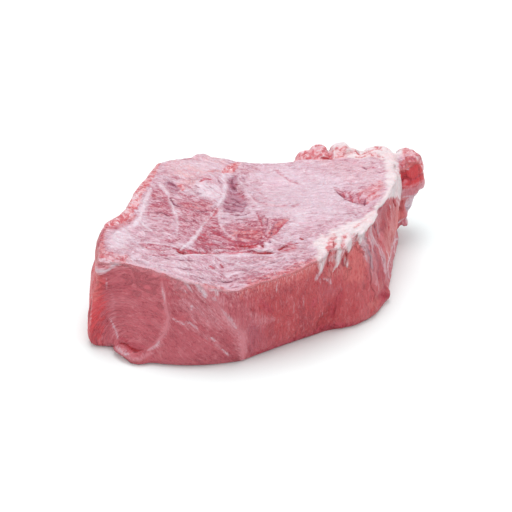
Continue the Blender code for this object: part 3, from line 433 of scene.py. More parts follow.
# The front, as x, z.
FRONT_MARKS = (
    Patch(RUBY, ((-98, -2), (-84, -2), (-82, 20), (-79, 44), (-88, 50), (-98, 44)), 5.5, 0.8),
    Stroke(EMBER, ((-85, 47), (-86, 40), (-87, 30)), 4.5, 0.75),
    Patch(CALM, ((-84, 46), (-54, 48), (-48, 32), (-54, 10), (-80, 8)), 6.0, 0.45),
    # A painted highlight down the left edge of the red strip.
    Stroke(FILM, ((-90, 12), (-89, 22), (-88, 34), (-87, 42)), 0.6, 0.35, 0.3),
    Stroke(GAP, ((-91, 14), (-90, 22), (-89, 30)), 0.6, 0.85, -0.4),
    Stroke(HAZE, ((-88, 47), (-81, 47), (-75, 50), (-70, 53)), 2.0, 0.85, 0.5),
    Stroke(FILM, ((-89, 46), (-83, 47), (-77, 48)), 1.6, 0.7, 0.3),
    Stroke(FILM, ((-78, 48), (-74, 51), (-71, 53)), 1.2, 0.75, 0.3),
    Stroke(FILM, ((-79, 43), (-79, 37)), 0.6, 0.4, 0.2),
    Stroke(HAZE, ((-76, 34), (-77, 20), (-75, 9)), 2.2, 0.4),
    Stroke(FILM, ((-78, 19), (-75, 13), (-74, 9)), 0.7, 0.5, 0.2),
    Stroke(HAZE, ((-49, 48), (-48, 38), (-46, 30), (-48, 21), (-53, 13), (-58, 9)), 1.9, 0.65, 0.1),
    Stroke(FILM, ((-49, 45), (-48, 37)), 0.7, 0.45, 0.1),
    Stroke(FILM, ((-51, 16), (-54, 12), (-58, 9)), 1.0, 0.45, 0.2),
    Stroke(CARVE, ((-44, 36), (-43, 22), (-44, 10)), 5.0, 1.0, 0.7),
    Patch(HAZE, ((-44, 50), (-30, 48), (-18, 46), (-14, 38), (-24, 38), (-34, 44), (-44, 44)), 2.2, 0.65),
    Stroke(RUST, ((-42, 44), (-38, 42), (-34, 44)), 2.0, 0.45),
    Patch(HAZE, ((-40, 44), (-26, 42), (-16, 34), (-18, 24), (-30, 28), (-42, 36)), 5.0, 0.7),
    Stroke(HAZE, ((-44, 30), (-34, 25), (-24, 18), (-14, 5)), 1.5, 0.6, -0.3),
    Stroke(FILM, ((-37, 28), (-33, 26), (-30, 24)), 1.0, 0.45, 0.2),
    Stroke(FILM, ((-44, 30), (-40, 28), (-37, 26)), 0.5, 0.55, 0.2),
    Stroke(FILM, ((-24, 19), (-22, 16)), 0.6, 0.6, 0.2),
    Stroke(FILM, ((-18, 11), (-15, 6)), 0.5, 0.75, 0.2),
    Stroke(HAZE, ((-27, 47), (-20, 38), (-15, 30), (-8, 20), (-8, 10), (-8, 1)), 3.6, 0.7, 0.4),
    Stroke(FILM, ((-31, 50), (-27, 46), (-26, 43)), 1.4, 0.8, 0.3),
    Stroke(FILM, ((-38, 51), (-35, 48), (-33, 45)), 0.9, 0.6, 0.2),
    Stroke(FILM, ((-43, 51), (-37, 50), (-32, 50)), 0.8, 0.6, 0.2),
    Stroke(FILM, ((-24, 49), (-21, 46), (-20, 43)), 0.9, 0.65, 0.2),
    Stroke(FILM, ((-18, 49), (-15, 45)), 0.8, 0.5, 0.2),
    Stroke(FILM, ((-23, 43), (-21, 41)), 1.0, 0.5, 0.3),
    Stroke(FILM, ((-40, 47), (-36, 44)), 0.7, 0.4, 0.2),
    Stroke(FILM, ((-18, 37), (-14, 31), (-10, 25)), 1.2, 0.4, 0.2),
    Stroke(FILM, ((-34, 38), (-34, 35)), 0.7, 0.6, 0.2),
    # Painted purple shade in the low valley of the front.
    Stroke(MAUVE, ((-2, 26), (-1, 15), (-3, 4)), 5.5, 0.3, -0.3),
    Stroke(MAUVE, ((-44, 20), (-30, 10), (-16, 3)), 6.5, 0.15),
    Stroke(GAP, ((-74, 7), (-69, 8), (-65, 8), (-60, 9)), 0.8, 0.75, -0.8),
    Stroke(DEEP, ((-73, 10), (-66, 10), (-60, 11)), 2.6, 0.5, -0.2),
    Stroke(HAZE, ((-77, 4), (-70, 5), (-62, 5), (-55, 8)), 1.5, 0.8, 0.2),
    Stroke(FILM, ((-76, 5), (-72, 5), (-68, 6)), 0.8, 0.5, 0.2),
    Stroke(RUST, ((-74, 2), (-66, 2), (-58, 4)), 2.0, 0.5),
    Patch(CARVE, ((-80, 3), (-60, 3), (-60, -2), (-80, -2)), 2.0, 1.0, -1.0),
    Patch(WARM, ((-8, 52), (10, 52), (36, 56), (60, 56), (66, 30), (74, 0), (12, 0), (6, 20)), 7.0, 1.0),
    Patch(EMBER, ((-12, 52), (4, 53), (20, 55), (34, 57), (34, 43), (24, 43), (8, 43),
                  (-8, 43)), 3.2, 0.65),
    Stroke(EMBER, ((16, 49), (24, 49), (31, 48)), 3.4, 0.9),
    Stroke(DEEP, ((2, 39), (5, 33), (9, 28)), 2.4, 0.6, -0.5),
    Stroke(HAZE, ((-4, 32), (3, 25), (10, 24)), 3.4, 0.5, 0.6),
    Stroke(DEEP, ((32, 29), (32, 23)), 2.6, 0.6, -0.5),
    Patch(MAUVE, ((33, 40), (47, 36), (49, 24), (38, 22), (32, 28)), 5.0, 0.22),
    Stroke(GAP, ((47, 29), (44, 23), (43, 15), (41, 8), (40, 2)), 0.6, 0.4, -0.5),
    Stroke(DEEP, ((48, 27), (44, 20), (42, 10)), 3.0, 0.55, -0.6),
    Stroke(CARVE, ((36, 1), (41, 1), (44, 1)), 3.0, 1.0, -1.5),
    Stroke(RUST, ((48, 6), (56, 5), (64, 4)), 3.0, 0.4),
    # Darker red along the foot of the front, partly painted contact shade.
    Stroke(DEEP, ((-2, 2), (14, 2), (30, 2), (44, 3), (60, 2)), 3.2, 0.8),
    Stroke(FILM, ((11, 49), (11, 44), (11, 40)), 0.4, 0.5, 0.1),
    Stroke(FILM, ((4, 47), (4, 42)), 0.35, 0.45, 0.1),
    Stroke(FILM, ((20, 31), (20, 23)), 0.35, 0.4, 0.1),
    Stroke(FILM, ((25, 33), (25, 25)), 0.35, 0.4, 0.1),
    Stroke(FILM, ((36, 17), (36, 11)), 0.35, 0.35, 0.1),
    # The tangle of fat that runs down the front from the right edge.
    Stroke(FAT, ((38, 60), (37, 54), (35, 50), (34, 46)), 3.0, 0.8, 0.3, 0.6),
    Stroke(FILM, ((35, 47), (33, 43), (32, 40)), 1.2, 0.6, 0.2),
    Stroke(BLUSH, ((36, 55), (35, 51), (33, 48)), 0.5, 0.6, -0.2),
    Stroke(FAT, ((57, 60), (57, 53), (56, 48)), 1.3, 0.9, 0.4, 0.8),
    Patch(RUST, ((37, 57), (57, 57), (56, 48), (51, 41), (44, 38), (37, 40)), 2.4, 1.0),
    Stroke(FAT, ((45, 62), (46, 54), (44, 48), (43, 43)), 2.0, 0.9, 0.4, 0.9),
    Stroke(FAT, ((42, 50), (43, 45), (41, 41)), 1.0, 0.75, 0.3, 0.6),
    Stroke(FAT, ((51, 62), (51, 54), (50, 47)), 2.0, 0.95, 0.4, 0.9),
    Stroke(FAT, ((48, 45), (49, 40)), 1.1, 0.8, 0.3),
    Stroke(BLUSH, ((41, 56), (40, 50), (39, 46)), 1.5, 0.9, -0.3),
    Stroke(BLUSH, ((48, 55), (47, 50), (46, 45)), 1.0, 0.95, -0.4),
    Stroke(BLUSH, ((54, 54), (53, 49)), 0.9, 0.9, -0.3),
    Stroke(FAT, ((41, 51), (40, 47)), 0.7, 0.6, 0.4, 0.5),
    Stroke(GAP, ((40, 54), (39, 49), (38, 45)), 0.9, 0.6, -0.6),
    Stroke(GAP, ((43, 52), (42, 47)), 0.8, 0.55, -0.5),
    Stroke(GAP, ((49, 49), (49, 45), (48, 40)), 1.1, 0.7, -0.7),
    Stroke(DEEP, ((46, 45), (47, 41)), 1.2, 0.7, -0.5),
    Stroke(FILM, ((36, 40), (39, 38), (41, 35)), 1.1, 0.4, 0.3),
    Stroke(FILM, ((34, 41), (35, 36)), 0.8, 0.35, 0.2, 0.4),
    Patch(EMBER, ((50, 48), (57, 49), (61, 36), (59, 27), (50, 31), (46, 38)), 3.2, 0.85),
    Patch(RUST, ((52, 38), (58, 36), (61, 28), (59, 22), (52, 26)), 3.0, 0.4),
    Stroke(HAZE, ((58, 55), (61, 44), (64, 34), (67, 20)), 3.8, 0.7, 0.3, 0.6),
    Stroke(FILM, ((57, 56), (59, 47), (62, 39), (64, 31)), 1.6, 0.65, 0.5, 0.4),
    Stroke(FILM, ((62, 55), (63, 47), (65, 40)), 1.4, 0.55, 0.4, 0.4),
    Stroke(PLUM, ((60, 46), (62, 38), (65, 29)), 1.4, 0.5, -0.4),
    Stroke(FILM, ((67, 26), (69, 14)), 0.9, 0.35, 0.2, 0.5),
    Stroke(HAZE, ((68, 52), (70, 38), (72, 22)), 2.6, 0.6, 0.3),
    Stroke(FILM, ((67, 52), (68, 44), (70, 36)), 1.1, 0.5, 0.4, 0.5),
    Stroke(EMBER, ((62, 12), (68, 8), (72, 6)), 2.6, 0.7),
    # The front of the lobe at the right end.
    Stroke(CARVE, ((86, 30), (94, 29), (102, 30)), 5.0, 1.0, -1.2),
    Patch(RUBY, ((82, 53), (92, 56), (102, 52), (102, 39), (92, 40), (82, 41)), 1.0, 1.0),
    Stroke(DEEP, ((84, 45), (92, 44), (99, 44)), 0.6, 0.7, -0.3),
    Stroke(DEEP, ((84, 51), (88, 47), (90, 42)), 1.2, 0.4, -0.2),
    Stroke(HAZE, ((84, 42), (90, 41), (99, 41)), 0.7, 0.8, 0.3),
    Patch(HAZE, ((82, 40), (101, 40), (100, 30), (88, 31)), 1.0, 1.0),
    Stroke(DEEP, ((85, 38), (91, 37), (98, 38)), 0.6, 0.6, -0.3),
    Stroke(FILM, ((86, 35), (92, 34), (98, 35)), 0.7, 0.8, 0.3),
    # The low lobe is lightened with haze and silver skin beyond its real pale fat, to offset the shade it
    # lies in: partly painted light.
    Patch(HAZE, ((88, 34), (101, 34), (100, 18), (88, 14)), 1.4, 1.0),
    Patch(FILM, ((90, 34), (101, 34), (100, 18), (91, 16)), 2.2, 0.95),
    Patch(RUST, ((79, 38), (88, 36), (92, 28), (90, 20), (80, 20)), 1.4, 1.0),
    # Pale orange over the red, made lighter to offset the shade it lies in: partly painted light.
    Patch(EMBER, ((80, 37), (87, 35), (90, 28), (88, 20), (80, 21)), 1.0, 1.0),
    Stroke(DEEP, ((80, 34), (82, 28), (82, 22)), 1.0, 0.5, -0.2),
    Stroke(DEEP, ((91, 19), (94, 21), (96, 26)), 0.9, 0.9, -0.5),
)

# The right side, as y, z.
RIGHT_MARKS = (
    Patch(FAT, ((14, 62), (16, 55), (24, 52), (31, 47), (38, 42), (46, 33), (49, 35),
                (51, 62)), 1.6, 1.0, 0.3),
    # Darker purple below the rim, partly painted shade under the rim's overhang.
    Patch(PLUM, ((-4, 53), (8, 54), (22, 50), (22, 44), (12, 36), (-4, 37)), 3.2, 0.35, -0.8),
    Stroke(PLUM, ((-3, 53), (-1, 48), (0, 43)), 1.4, 0.8, -0.8),
    Stroke(FAT, ((-24, 58), (-16, 56), (-8, 55), (0, 55), (6, 56), (14, 57), (22, 55)), 0.8, 1.0, 0.4),
    Stroke(FILM, ((-18, 51), (-19, 43), (-20, 36)), 1.3, 0.6, 0.4, 0.4),
    Stroke(FILM, ((-14, 51), (-15, 43), (-16, 37)), 1.1, 0.55, 0.4, 0.4),
    Stroke(FILM, ((-9, 50), (-8, 42), (-7, 34), (-8, 27)), 1.3, 0.6, 0.5, 0.5),
    Stroke(FILM, ((-3, 40), (-5, 33), (-8, 24), (-10, 15)), 1.0, 0.5, 0.4),
    Stroke(PLUM, ((-11, 46), (-12, 34), (-14, 22)), 2.0, 0.45, -0.5),
    Stroke(RUST, ((-16, 30), (-14, 18), (-12, 8)), 1.6, 0.5, -0.3),
    Stroke(DEEP, ((-6, 46), (-5, 38), (-6, 30)), 0.6, 0.6, -0.4),
    Patch(WARM, ((-2, 50), (26, 50), (46, 30), (48, 22), (20, 18), (0, 20)), 3.0, 0.9),
    Patch(RUST, ((2, 38), (18, 38), (30, 27), (24, 16), (4, 20)), 2.8, 1.0),
    Stroke(FILM, ((22, 49), (22, 43), (20, 38)), 0.8, 0.5, 0.3),
    Stroke(HAZE, ((17, 50), (17, 44), (15, 38)), 1.2, 0.5, 0.2),
    Stroke(FILM, ((28, 45), (28, 39)), 0.8, 0.5, 0.2),
    Stroke(HAZE, ((12, 52), (8, 46), (5, 40)), 1.8, 0.7, 0.2),
    Stroke(GAP, ((30, 46), (31, 42), (33, 39)), 0.9, 0.85, -0.7),
    Stroke(BLUSH, ((33, 43), (40, 37), (46, 32)), 2.2, 0.8, 0.3),
    Patch(RUST, ((40, 37), (46, 34), (53, 32), (53, 18), (42, 20)), 1.5, 1.0, -0.3),
    # Pale orange over the red, made lighter to offset the shade it lies in: partly painted light.
    Patch(EMBER, ((43, 36), (47, 33), (53, 30), (53, 20), (44, 21)), 1.2, 0.9),
    Patch(BLUSH, ((4, 18), (20, 18), (36, 16), (42, 10), (40, 3), (4, 3)), 4.0, 0.3),
    Stroke(FILM, ((46, 8), (34, 15), (20, 18), (8, 20), (0, 19), (-5, 14)), 1.2, 0.75, 0.5),
    Stroke(FILM, ((2, 30), (6, 22), (8, 12), (6, 5)), 0.8, 0.7, 0.5),
    Stroke(FILM, ((14, 26), (18, 16), (17, 6)), 0.8, 0.7, 0.5),
    Stroke(FILM, ((28, 22), (31, 14), (30, 6)), 0.9, 0.7, 0.5),
    Stroke(DEEP, ((11, 22), (13, 12), (12, 4)), 0.7, 0.6, -0.4),
    Stroke(MAUVE, ((2, 12), (10, 6), (22, 6)), 2.0, 0.35, -0.3),
    Patch(DEEP, ((-15, 10), (-7, 10), (-7, 3), (-15, 3)), 2.0, 0.8, 0.1),
    Stroke(CARVE, ((50, 28), (62, 27), (76, 29)), 6.0, 1.0, -2.2),
    Stroke(CARVE, ((50, 18), (62, 18), (76, 20)), 4.5, 1.0, -2.6),
    Stroke(CARVE, ((46, 12), (62, 11), (76, 13)), 5.0, 1.0, -2.6),
    Stroke(CARVE, ((46, 17), (30, 14), (15, 13), (0, 14), (-8, 16)), 6.0, 1.0, -1.6),
    Stroke(FILM, ((50, 20), (40, 17), (30, 15), (18, 13), (4, 13)), 1.2, 0.7, 0.3),
    Stroke(CARVE, ((-22, 9), (-13, 8), (-4, 9)), 4.5, 1.0, -2.6),
    Patch(RUBY, ((50, 54), (62, 53), (76, 48), (76, 38), (62, 39), (50, 40)), 1.2, 1.0),
    Stroke(DEEP, ((52, 45), (62, 44), (74, 43)), 0.7, 0.7, -0.3),
    Patch(HAZE, ((50, 39), (74, 38), (76, 30), (62, 29), (50, 30)), 1.4, 1.0),
    Stroke(FILM, ((52, 35), (62, 33), (74, 34)), 0.8, 0.8, 0.3),
    Patch(HAZE, ((50, 33), (76, 32), (76, 16), (60, 8), (50, 14)), 2.2, 1.0),
    Patch(FILM, ((53, 33), (76, 31), (76, 16), (60, 8), (53, 14)), 2.6, 0.9, 0.2),
    Stroke(DEEP, ((50, 18), (56, 20), (61, 25)), 0.9, 0.9, -0.6),
    Stroke(DEEP, ((58, 16), (64, 20), (70, 22)), 0.8, 0.8, -0.4),
)

# The left side, turned away and finished like the sides that show, as y, z.
LEFT_MARKS = (
    Patch(RUBY, ((-50, 0), (-20, 0), (-22, 40), (-34, 44), (-50, 42)), 6.0, 0.8),
    Stroke(HAZE, ((-34, 48), (-30, 32), (-20, 20), (-16, 6)), 3.0, 0.6, -0.2),
    Stroke(HAZE, ((22, 52), (20, 34), (26, 18), (24, 4)), 3.0, 0.6, -0.3),
    Stroke(FILM, ((22, 50), (21, 40), (22, 30)), 0.8, 0.7, 0.2),
    Stroke(FILM, ((-14, 48), (-12, 36), (-6, 26), (2, 18)), 1.0, 0.7, 0.3),
    Stroke(HAZE, ((50, 50), (42, 36), (44, 14)), 3.4, 0.6, 0.3),
    Stroke(MAUVE, ((4, 26), (8, 12), (6, 2)), 6.0, 0.4, -0.3),
    Stroke(GAP, ((-4, 8), (6, 9), (14, 8)), 0.9, 0.8, -0.9),
    Patch(BLUSH, ((-10, 56), (10, 57), (40, 57), (40, 52), (8, 51), (-10, 50)), 1.4, 0.7),
    Patch(RUST, ((-48, 58), (-6, 58), (-8, 45), (-30, 43), (-48, 44)), 2.4, 0.85),
)

# The back, finished in the same way, as x, z.
BACK_MARKS = (
    Patch(WARM, ((0, 0), (80, 0), (80, 48), (10, 46)), 8.0, 0.9),
    Stroke(FAT, ((20, 54), (34, 51), (52, 49), (74, 52)), 2.8, 0.9, 0.6),
    Stroke(FAT, ((60, 50), (57, 40), (55, 30)), 1.5, 0.9, 0.6, 0.3),
    Stroke(FAT, ((66, 50), (66, 38), (62, 26)), 1.4, 0.9, 0.6, 0.3),
    Stroke(FILM, ((72, 50), (72, 32), (66, 14)), 1.2, 0.8, 0.4, 0.5),
    Stroke(FILM, ((48, 50), (46, 40), (48, 30)), 1.0, 0.8, 0.4, 0.5),
    Stroke(GAP, ((60, 46), (62, 38), (60, 32)), 0.8, 0.8, -0.7),
    Stroke(HAZE, ((14, 52), (10, 30), (16, 6)), 3.2, 0.7, -0.3),
    Stroke(HAZE, ((-26, 52), (-34, 34), (-30, 8)), 3.0, 0.6, -0.2),
    Stroke(FILM, ((-27, 48), (-30, 40), (-33, 36)), 0.9, 0.8, 0.2),
    Stroke(HAZE, ((-50, 50), (-52, 30), (-46, 10)), 3.6, 0.6, 0.3),
    Stroke(MAUVE, ((-12, 30), (-8, 16), (-10, 3)), 6.0, 0.4, -0.3),
    Stroke(GAP, ((-44, 8), (-36, 9), (-28, 8)), 0.9, 0.8, -0.9),
)

MARKS = {
    Face.UPPER: UPPER_MARKS,
    Face.CREST: CREST_MARKS,
    Face.FRONT: FRONT_MARKS,
    Face.RIGHT: RIGHT_MARKS,
    Face.LEFT: LEFT_MARKS,
    Face.BACK: BACK_MARKS,
}

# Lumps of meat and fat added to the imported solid: the left back corner, the low hump beside it, the
# peak of the flap, the wide foot of the nub, the hump of the corner of fat and the filled hollow
# between that corner and the lobe.
LUMPS = (
    Lump((-54.5, 54, 50), (5, 4.5, 5.4)),
    Lump((-32, 62, 50.5), (7, 4.5, 6)),
    Lump((37.5, 69, 53.8), (5.5, 4.5, 4.8)),
    Lump((31, 67, 52), (6, 4, 3.2)),
    Lump((49, 70, 53.8), (5, 4.5, 5)),
    Lump((56, 68, 52.5), (5, 4, 4.2)),
    Lump((73, 70, 52.3), (7, 5, 4.4)),
    Lump((80.5, 50, 42), (4.5, 9, 10.5)),
    Lump((83, 58, 44), (4.5, 6, 9)),
)

# How far the pale cut face laps over the front rim, as x and millimetres below the rim.
SKIRT = (
    (-92, 0.3), (-68, 0.1), (-60, 0.3), (-48, 0.7), (-38, 1.2), (-24, 1.9), (-12, 1.2), (0, 0.9), (22, 0.8),
    (60, 0.6),
)

# Where the fibres of the front turn, under its two pale seams, as z, x.
RING_SEAM = ((9, -58), (21, -48), (30, -46), (48, -49))
SLANT_SEAM = ((1, -7), (20, -7), (30, -14), (38, -19), (47, -26))


def smoothstep(low: Level, high: Level, values: np.ndarray) -> np.ndarray:
    """Ease from 0 at low to 1 at high.

    Args:
        low: The value that gives 0.
        high: The value that gives 1.
        values: What is eased.

    Returns:
        The eased values.
    """
    share = np.clip((values - low) / (high - low), 0, 1)
    return share * share * (3 - 2 * share)


class Grain:
    """Smooth repeatable unevenness through space, between about -1 and 1."""

    SIZE = 256
    GAIN = 1.6
    OCTAVE_SHIFT = 7.3

    def __init__(self, seed: int) -> None:
        """Shuffle the slopes of the lattice.

        Args:
            seed: Fixes the pattern.
        """
        draw = np.random.default_rng(seed)
        order = draw.permutation(self.SIZE)
        self.order = np.concatenate((order, order))
        slopes = draw.normal(size=(self.SIZE, 3))
        self.slopes = slopes / np.linalg.norm(slopes, axis=1, keepdims=True)

    def at(self, points: np.ndarray) -> np.ndarray:
        """Read one octave.

        Args:
            points: Places in space, one a row, in waves.

        Returns:
            The unevenness at each.
        """
        cell = np.floor(points).astype(int)
        local = points - cell
        ease = local**3 * (local * (local * 6 - 15) + 10)
        total = np.zeros(len(points))
        for corner in itertools.product((0, 1), repeat=3):
            x, y, z = ((cell + corner) % self.SIZE).T
            key = self.order[self.order[self.order[x] + y] + z]
            pull = np.sum(self.slopes[key] * (local - corner), axis=1)
            total += pull * np.prod(np.where(corner, ease, 1 - ease), axis=1)
        return self.GAIN * total

    def octaves(self, points: np.ndarray, count: int) -> np.ndarray:
        """Read several octaves, each half as strong and twice as fine as the one before.

        Args:
            points: Places in space, one a row, in waves of the coarsest octave.
            count: How many octaves.

        Returns:
            The unevenness at each point.
        """
        parts = [self.at(points * 2**turn + self.OCTAVE_SHIFT * turn) / 2**turn for turn in range(count)]
        return sum(parts) / sum(0.5**turn for turn in range(count))


def line_gap(points: np.ndarray, line: tuple[Point, ...]) -> tuple[np.ndarray, np.ndarray]:
    """Measure how far points are from a line of points.

    Args:
        points: Places on a face, one a row.
        line: The corners of the line.

    Returns:
        The distance of each point, and its place along the line from 0 to 1.
    """
    corners = np.array(line, float)
    nearest = np.full(len(points), np.inf)
    place = np.zeros(len(points))
    for index, (start, end) in enumerate(zip(corners, corners[1:])):
        run = end - start
        share = np.clip((points - start) @ run / (run @ run), 0, 1)
        gap = np.linalg.norm(points - start - share[:, None] * run, axis=1)
        place = np.where(gap < nearest, (index + share) / (len(corners) - 1), place)
        nearest = np.minimum(nearest, gap)
    return nearest, place


def inside(points: np.ndarray, outline: tuple[Point, ...]) -> np.ndarray:
    """Tell which points lie inside a closed outline.

    Args:
        points: Places on a face, one a row.
        outline: The corners of the outline.

    Returns:
        True for each point inside.
    """
    within = np.zeros(len(points), bool)
    x, y = points.T
    for (x0, y0), (x1, y1) in zip(outline, outline[1:] + outline[:1]):
        if y0 != y1:
            crosses = (y0 > y) != (y1 > y)
            within ^= crosses & (x < x0 + (y - y0) * (x1 - x0) / (y1 - y0))
    return within


@dataclass
class Skin:
    """The points of the meat's skin and what is painted on them, in the drawing frame."""

    points: np.ndarray
    normals: np.ndarray
    drop: np.ndarray
    wander: np.ndarray = field(init=False)
    faces: dict[Face, np.ndarray] = field(init=False)
    fibre: np.ndarray = field(init=False)
    seam: np.ndarray = field(init=False)
    streak: np.ndarray = field(init=False)
    rise: np.ndarray = field(init=False)
    tones: dict[Tone, np.ndarray] = field(init=False)

    # How marks are drawn: how far lines stray, as seed, size, wave and offset, and how they end.
    STRAYS = ((Seed.STRAY, 0.9, 12, 31.7), (Seed.FINE_STRAY, 0.22, 3.6, 17.3))
    STREAK_WAVES = (6.0, 1.5, 3.0)
    END_TAPER = 0.22
    END_SHARE = 0.35
    FALL_OFF = 0.9
    RAGGED_EDGE = 1.3
    REACH = 3.0
    MARGIN = 2.0
    FAINTEST = 0.01

    # Where the faces of the cut lie. Each span is where a face starts and where it is complete, and
    # a turn is a part of the normal.
    CUT_HEIGHT = (30, 38)
    CUT_TURN = (0.25, 0.5)
    LEVEL_TURN = (0.5, 0.8)
    BELOW_RIM = (3.0, 6.0)
    FRONT_TURN = (0.1, 0.35)
    END_TURN = (0.3, 0.6)
    RIGHT_DEPTH = (-26, -18)
    RIGHT_START = (24, 32)
    LEFT_BACK_TURN = (-0.4, -0.1)
    LEFT_END = (-46, -40)
    BACK_END = (80, 86)
    LOBE_START = (80, 84)
    CREST_HEIGHT = (40, 46)
    CREST_START = 57
    CREST_EASE = 3
    LOBE_CREST_SHIFT = 8
    LEDGE_TOP = (46, 49)
    LEDGE_DEPTH = (50, 55)
    LEDGE_END = (0, 8)
    LEDGE_DROP = 20.0

    # How the fibres run: they fan out on the left, bend round a whorl on the upper face, and lie in a
    # ring, on a slant or upright on the front.
    BEND_WAVE = 34
    BEND_ALONG = 3
    BEND_ACROSS = 5.0
    SIDE_BEND = 2
    FAN_START = -15
    FAN_SLOPE = 0.42
    WHORL_MIDDLE = (22, 30)
    WHORL_REACH = (30, 26)
    WHORL_PUSH = 13.0
    CUT_STRETCH = 0.62
    RING_MIDDLE = (-64, 4)
    RING_STRETCH = 0.5
    SLANT_COS = 0.64
    SLANT_SIN = 0.77
    SEAM_EASE = 1
    SEAM_WIDTH = 1.6
    FIBRE_TURN = (0.35, 0.6)

    def __post_init__(self) -> None:
        """Work out the faces, the stray and the fibres of each point and start with bare skin."""
        self.drop = self.drop + self.LEDGE_DROP * self.back_ledge()
        self.wander = np.stack([self.stray(axis) for axis in range(3)], axis=1)
        self.faces = self.find_faces()
        self.fibre = self.fibre_places()
        self.streak = Grain(Seed.STREAK).octaves(self.fibre / self.STREAK_WAVES, 2)
        self.rise = np.zeros(len(self.points))
        self.tones = {tone: np.zeros(len(self.points)) for tone in Tone}

    def stray(self, axis: int) -> np.ndarray:
        """How far a mark strays from its line at each point, along one axis."""
        grains = [(Grain(seed), size, wave, offset * axis) for seed, size, wave, offset in self.STRAYS]
        return sum(size * grain.at(self.points / wave + offset) for grain, size, wave, offset in grains)

    def find_faces(self) -> dict[Face, np.ndarray]:
        """Work out how much each point belongs to each face of the cut.

        Returns:
            For each face, a share from 0 to 1 for each point.
        """
        x, y, z = self.points.T
        right, back, up = self.normals.T
        high = smoothstep(*self.CUT_HEIGHT, z)
        upright = 1 - smoothstep(*self.LEVEL_TURN, up) * high
        near_rim = 1 - smoothstep(*self.BELOW_RIM, self.drop)
        on_right = smoothstep(*self.RIGHT_DEPTH, y) * smoothstep(*self.RIGHT_START, x)
        on_left = smoothstep(*self.LEFT_BACK_TURN, back) * (1 - smoothstep(*self.LEFT_END, x))
        on_lobe = smoothstep(*self.LOBE_START, x)
        lobe_front = on_lobe * smoothstep(*self.END_TURN, -back)
        crest_start = self.CREST_START - self.LOBE_CREST_SHIFT * on_lobe
        on_crest = smoothstep(crest_start, crest_start + self.CREST_EASE, y) * (1 - lobe_front)
        return {
            Face.UPPER: smoothstep(*self.CUT_TURN, up) * high * near_rim * (1 - self.back_ledge()),
            Face.FRONT: upright * smoothstep(*self.FRONT_TURN, -back),
            Face.RIGHT: upright * smoothstep(*self.END_TURN, right) * on_right,
            Face.LEFT: upright * smoothstep(*self.END_TURN, -right) * on_left,
            Face.BACK: upright * smoothstep(*self.FRONT_TURN, back) * (1 - smoothstep(*self.BACK_END, x)),
            Face.CREST: smoothstep(*self.CREST_HEIGHT, z) * on_crest,
        }

    def back_ledge(self) -> np.ndarray:
        """How much each point lies on the ledges low on the back, which stay bare muscle."""
        x, y, z = self.points.T
        low = 1 - smoothstep(*self.LEDGE_TOP, z)
        return low * smoothstep(*self.LEDGE_DEPTH, y) * (1 - smoothstep(*self.LEDGE_END, x))

    def fibre_places(self) -> np.ndarray:
        """Work out each point's place along the muscle fibres, across them, and through the meat.

        Where two directions of fibre meet, the seam between them is noted too.

        Returns:
            The places, one a row.
        """
        x, y, z = self.points.T
        bend = Grain(Seed.BEND).octaves(self.points / self.BEND_WAVE, 2)
        side_bend = self.SIDE_BEND * bend
        (whorl_x, whorl_y), (reach_x, reach_y) = self.WHORL_MIDDLE, self.WHORL_REACH
        whorl = np.exp(-(((x - whorl_x) / reach_x) ** 2 + ((y - whorl_y) / reach_y) ** 2))
        fan = self.FAN_SLOPE * np.minimum(x - self.FAN_START, 0)
        across = y + fan + self.BEND_ACROSS * bend + self.WHORL_PUSH * whorl
        level = np.stack((x + self.BEND_ALONG * bend, self.CUT_STRETCH * across, z), axis=1)

        from_ring = np.hypot(x - self.RING_MIDDLE[0], z - self.RING_MIDDLE[1])
        ring_through = y + self.RING_STRETCH * z
        ring = np.stack((self.RING_STRETCH * x, from_ring + side_bend, ring_through), axis=1)
        down_slant = self.SLANT_COS * x - self.SLANT_SIN * z
        across_slant = self.SLANT_SIN * x + self.SLANT_COS * z
        slant = np.stack((down_slant, across_slant + side_bend, y), axis=1)
        sideways = np.where(np.abs(self.normals[:, 0]) > np.abs(self.normals[:, 1]), y, x)
        plumb = np.stack((z, sideways + side_bend, x + y), axis=1)

        front = self.faces[Face.FRONT]
        is_front = front > 0.5
        ends = [np.interp(z, *np.array(seam, float).T) for seam in (RING_SEAM, SLANT_SEAM)]
        past_ring, past_slant = (smoothstep(end - self.SEAM_EASE, end + self.SEAM_EASE, x) for end in ends)
        in_ring = np.where(is_front, 1 - past_ring, 0)[:, None]
        in_plumb = np.where(is_front, past_slant, 1)[:, None]
        side = ring * in_ring + plumb * in_plumb + slant * (1 - in_ring - in_plumb)

        upper = smoothstep(*self.FIBRE_TURN, self.normals[:, 2]) * smoothstep(*self.CUT_HEIGHT, z)
        upper = upper * (1 - self.back_ledge())
        turns = [np.exp(-(((x - end) / self.SEAM_WIDTH) ** 2)) * is_front for end in ends]
        self.seam = np.max([*turns, 4 * front * (1 - front), 4 * upper * (1 - upper)], axis=0)
        return level * upper[:, None] + side * (1 - upper[:, None])

